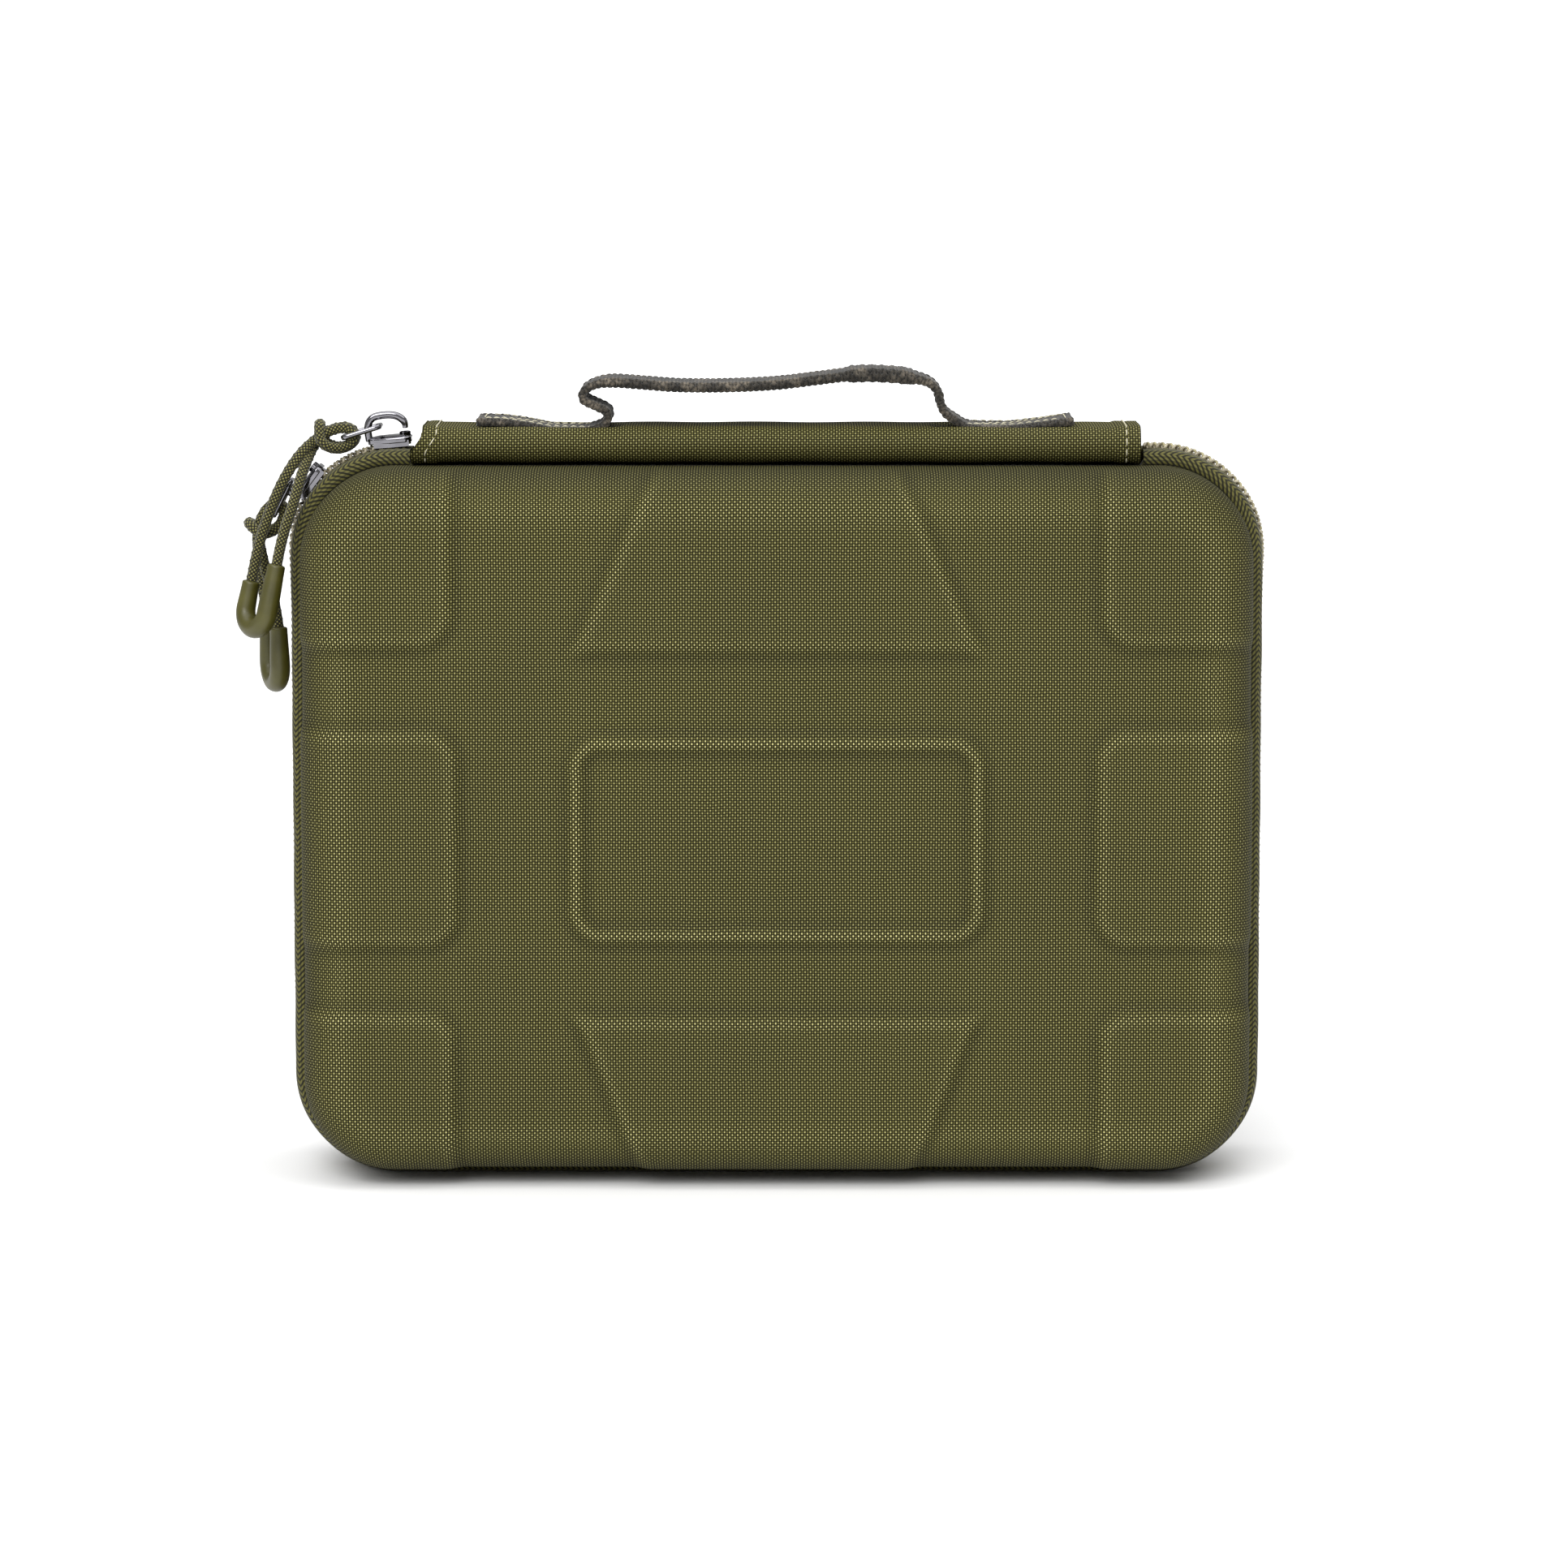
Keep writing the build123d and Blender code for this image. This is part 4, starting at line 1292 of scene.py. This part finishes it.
def make_divider(node):
    """A padded board covered in cloth, plump between its seams."""
    low, high = box(node)
    middle = (low + high) / 2
    half = (high - low) / 2
    # Its back corners follow the shell's rounded edge.
    back, front = EDGE - WALL + 1 * MM, 1 * MM
    corners = ((1, 1, 0, back), (-1, 1, 90, front), (-1, -1, 180, front), (1, -1, 270, back))
    shape = np.array([
        p for sy, sz, start, radius in corners
        for p in arc(sy * (half[1] - radius), sz * (half[2] - radius), radius, start, start + 90, 8)
    ])
    dense = []
    for a, b in zip(shape, np.roll(shape, -1, axis=0)):
        steps = max(1, int(np.linalg.norm(b - a) / (3 * MM)))
        dense += [a + (b - a) * k / steps for k in range(steps)]
    shape = np.array(dense)
    plump = [(0.25, 1.0), (0.5, 1.0), (0.72, 0.995), (0.86, 0.975), (0.95, 0.93), (0.99, 0.85)]
    plump = [(share * half[0], k) for share, k in plump]
    stack = []
    for x, k in [(-x, k) for x, k in reversed(plump)] + [(0.0, 1.0)] + plump:
        shrink = (1 - k) * 12 * MM
        scale = (np.abs(shape).max(axis=0) - shrink) / np.abs(shape).max(axis=0)
        stack.append(np.column_stack([np.full(len(shape), x), shape * scale]))
    for share in (0.75, 0.45, 0.15):
        for end in (0, -1):
            ring = stack[end].copy()
            ring[:, 1:] *= share / 0.9
            ring[:, 0] = (-1 if end == 0 else 1) * half[0] * (1.0 + 0.03 * (1 - share))
            stack.insert(0, ring) if end == 0 else stack.append(ring)
    vertices = np.concatenate(stack) + middle
    faces = grid_faces(len(stack), len(shape), wrap_columns=True, flip=True) + caps(len(stack), len(shape))
    return new_mesh(node + "_padded", vertices, faces, vertices[:, 1:], lining_cloth)


NET_PITCH = 3.4 * MM * math.sqrt(2)
NET_YARN = ((0.32, 0), (0, 0.2), (-0.32, 0), (0, -0.2))


def make_net():
    """The lid pocket's net: yarns crossing on the slant, with a small knot's worth of wander."""
    low, high = box("mesh_pocket")
    y = (low[1] + high[1]) / 2
    x0, x1, z0, z1 = low[0] + 2 * MM, high[0] - 2 * MM, low[2] + 2 * MM, high[2] + 4 * MM
    vertices, faces = [], []
    for slope in (1, -1):
        offset = x0 - (z1 - z0)
        while offset < x1:
            a, b = (offset, z0), (offset + (z1 - z0), z1)
            if slope < 0:
                a, b = (offset + (z1 - z0), z0), (offset, z1)
            steps = max(2, int((z1 - z0) / (NET_PITCH / 4)))
            t = np.linspace(0, 1, steps)
            xs, zs = a[0] + (b[0] - a[0]) * t, a[1] + (b[1] - a[1]) * t
            keep = (xs >= x0) & (xs <= x1)
            if keep.sum() > 2:
                xs, zs = xs[keep], zs[keep]
                phase = (xs + slope * zs) / NET_PITCH * 2 * math.pi
                path = np.stack([xs, y + slope * 0.13 * MM * np.cos(phase), zs], axis=1)
                base = len(vertices)
                for p, n, m in zip(path, *frames_along(path)):
                    wide, thin = (n, m) if abs(n[1]) < abs(m[1]) else (m, n)
                    vertices += [p + wide * c[0] * MM + thin * c[1] * MM for c in NET_YARN]
                faces += [tuple(base + i for i in f) for f in grid_faces(len(path), 4, wrap_columns=True)]
            offset += NET_PITCH
    vertices = np.array(vertices)
    return new_mesh("pocket_net", vertices, faces, vertices[:, [0, 2]], net_yarn)


def tape_band(name, start, end, width, thickness):
    """A flat band of binding tape from start to end on the lid's inner face."""
    start, end = np.array(start, float), np.array(end, float)
    path = start + (end - start) * np.linspace(0, 1, max(3, int(np.linalg.norm(end - start) / (2 * MM))))[:, None]
    side = np.cross(tangents_along(path), [0.0, 1.0, 0.0])
    lengths = lengths_along(path)
    rows, uvs = [], []
    profile = [(-1, 0), (-0.97, 0.7), (-0.8, 1), (0, 0.93), (0.8, 1), (0.97, 0.7), (1, 0)]
    for across, rise in profile:
        row = path + side * across * width / 2
        row[:, 1] += rise * thickness
        rows.append(row)
        uvs.append(np.column_stack([lengths, np.full(len(lengths), across * width / 2)]))
    vertices = np.stack(rows, axis=1).reshape(-1, 3)
    uv = np.stack(uvs, axis=1).reshape(-1, 2)
    faces = grid_faces(len(path), len(profile), wrap_columns=True) + caps(len(path), len(profile))
    return new_mesh(name, vertices, faces, uv, binding_cloth)


divider_boards = [make_divider("divider_left"), make_divider("divider_right")]
pocket_net = make_net()
net_low, net_high = box("mesh_pocket")
rim_low, rim_high = box("pocket_binding")
rim_y, rim_z = rim_low[1] + 0.6 * MM, (rim_low[2] + rim_high[2]) / 2
rim_width = float(rim_high[2] - rim_low[2])
pocket_rim = tape_band("pocket_rim", (rim_low[0], rim_y, rim_z), (rim_high[0], rim_y, rim_z), rim_width, 1.5 * MM)
floor_y, left_x, right_x = float(net_low[1]), net_low[0] + 3 * MM, net_high[0] - 3 * MM
foot_z, side_top = net_low[2] + 3 * MM, net_high[2] + 2 * MM
pocket_sides = [
    tape_band(name, start, end, 7 * MM, thickness)
    for name, start, end, thickness in (
        ("pocket_side_left", (left_x, floor_y, side_top), (left_x, floor_y, net_low[2]), 1.2 * MM),
        ("pocket_side_right", (right_x, floor_y, net_low[2]), (right_x, floor_y, side_top), 1.2 * MM),
        ("pocket_foot", (net_low[0], floor_y, foot_z), (net_high[0], floor_y, foot_z), 1.25 * MM),
    )
]


# ---------------------------------------------------------------- what moves with what

for obj, body, nodes, slot in (
    (lid_cover, "lid", ("front_cover", "front_shell"), "case_fabric"),
    (back_cover_cloth, "back", ("back_cover", "back_shell"), "case_fabric"),
    (lid_lining, "lid", ("front_lining",), "lining_fabric"),
    (back_lining, "back", ("back_lining",), "lining_fabric"),
    (lid_tape, "lid", ("front_zipper_tape",), "zipper_tape"),
    (back_tape, "back", ("back_zipper_tape",), "zipper_tape"),
    (lid_binding, "lid", ("front_binding",), "binding_tape"),
    (back_binding, "back", ("back_binding",), "binding_tape"),
    (lid_coil, "lid", ("front_zipper_coil",), "zipper_coil"),
    (back_coil, "back", ("back_zipper_coil",), "zipper_coil"),
    (spine_cloth, "spine", ("spine_panel", "spine_hem_left", "spine_hem_right"), "case_fabric"),
    (spine_under, "spine", ("spine_lining",), "lining_fabric"),
    (spine_padding, "spine", ("spine_core",), "case_fabric"),
    (hem_stitches, "spine", (), None),
    (end_stitches, "spine", (), None),
    (divider_boards[0], "back", ("divider_left",), "lining_fabric"),
    (divider_boards[1], "back", ("divider_right",), "lining_fabric"),
    (pocket_net, "lid", ("mesh_pocket",), "mesh_net"),
    (pocket_rim, "lid", ("pocket_binding",), "binding_tape"),
    *((side, "lid", (), "binding_tape") for side in pocket_sides),
):
    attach(obj, body)
    if nodes:
        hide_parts(*nodes)

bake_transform(handle_strap)
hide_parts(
    "handle_end_left", "handle_end_right", "handle_grip", "handle_riser_left", "handle_riser_right"
)


# ---------------------------------------------------------------- floor, light and camera


def flat_material(name, colour, roughness):
    """A plain surface with the faintest unevenness."""
    g = Graph(name)
    g.colour(g.ramp(g.noise(3, 2), [(0.3, shaded(colour, 0.995)), (0.7, colour)]))
    g.set(roughness=roughness, specular_ior_level=0.1)
    return g.material


FLOOR_SIZE = 14
bpy.ops.mesh.primitive_plane_add(size=FLOOR_SIZE, location=(0, 0, 0))
floor = bpy.context.object
floor.name = "floor"
floor.data.materials.append(flat_material("floor_white", (0.93, 0.93, 0.93), 0.9))

# The backdrop is white paper: brighter where it is seen than where it lights the case.
ROOM_LIGHT, PAPER_LIGHT = 0.36, 1.1
world = bpy.data.worlds.new("studio")
bpy.context.scene.world = world
world.use_nodes = True
nodes, links = world.node_tree.nodes, world.node_tree.links
sky, paper = nodes["Background"], nodes.new("ShaderNodeBackground")
for node, light in ((sky, ROOM_LIGHT), (paper, PAPER_LIGHT)):
    node.inputs["Color"].default_value = (1, 1, 1, 1)
    node.inputs["Strength"].default_value = light
seen, choose = nodes.new("ShaderNodeLightPath"), nodes.new("ShaderNodeMixShader")
for index, out in enumerate((seen.outputs["Is Camera Ray"], sky.outputs[0], paper.outputs[0])):
    links.new(out, choose.inputs[index])
links.new(choose.outputs[0], nodes["World Output"].inputs["Surface"])

AIM = Vector((2.25 * MM, -20 * MM, 123.2 * MM))


def sun_light(name, azimuth, elevation, strength, spread):
    """A broad, even light from a direction: azimuth is to the right of the front, both in degrees."""
    light = bpy.data.lights.new(name, "SUN")
    light.energy = strength
    light.angle = math.radians(spread)
    obj = bpy.data.objects.new(name, light)
    bpy.context.scene.collection.objects.link(obj)
    a, e = math.radians(azimuth), math.radians(elevation)
    toward = Vector((math.sin(a) * math.cos(e), -math.cos(a) * math.cos(e), math.sin(e)))
    obj.location = AIM + toward * 3
    obj.rotation_mode = "QUATERNION"
    obj.rotation_quaternion = (-toward).to_track_quat("-Z", "Y")
    return obj


sun_light("key", -14, 32, 1.95, 34)
sun_light("overhead", 20, 80, 2.6, 90)

lens = bpy.data.cameras.new("camera")
camera = bpy.data.objects.new("camera", lens)
bpy.context.scene.collection.objects.link(camera)
bpy.context.scene.camera = camera
lens.sensor_width = 36
lens.lens = 141.6
CAMERA_RISE = math.radians(7)
CAMERA_DISTANCE = 1.9
camera.location = AIM + Vector((0, -math.cos(CAMERA_RISE), math.sin(CAMERA_RISE))) * CAMERA_DISTANCE
camera.rotation_mode = "QUATERNION"
camera.rotation_quaternion = (AIM - camera.location).to_track_quat("-Z", "Y")
lens.clip_start, lens.clip_end = 0.05, 30

bpy.context.scene.view_settings.view_transform = "Standard"
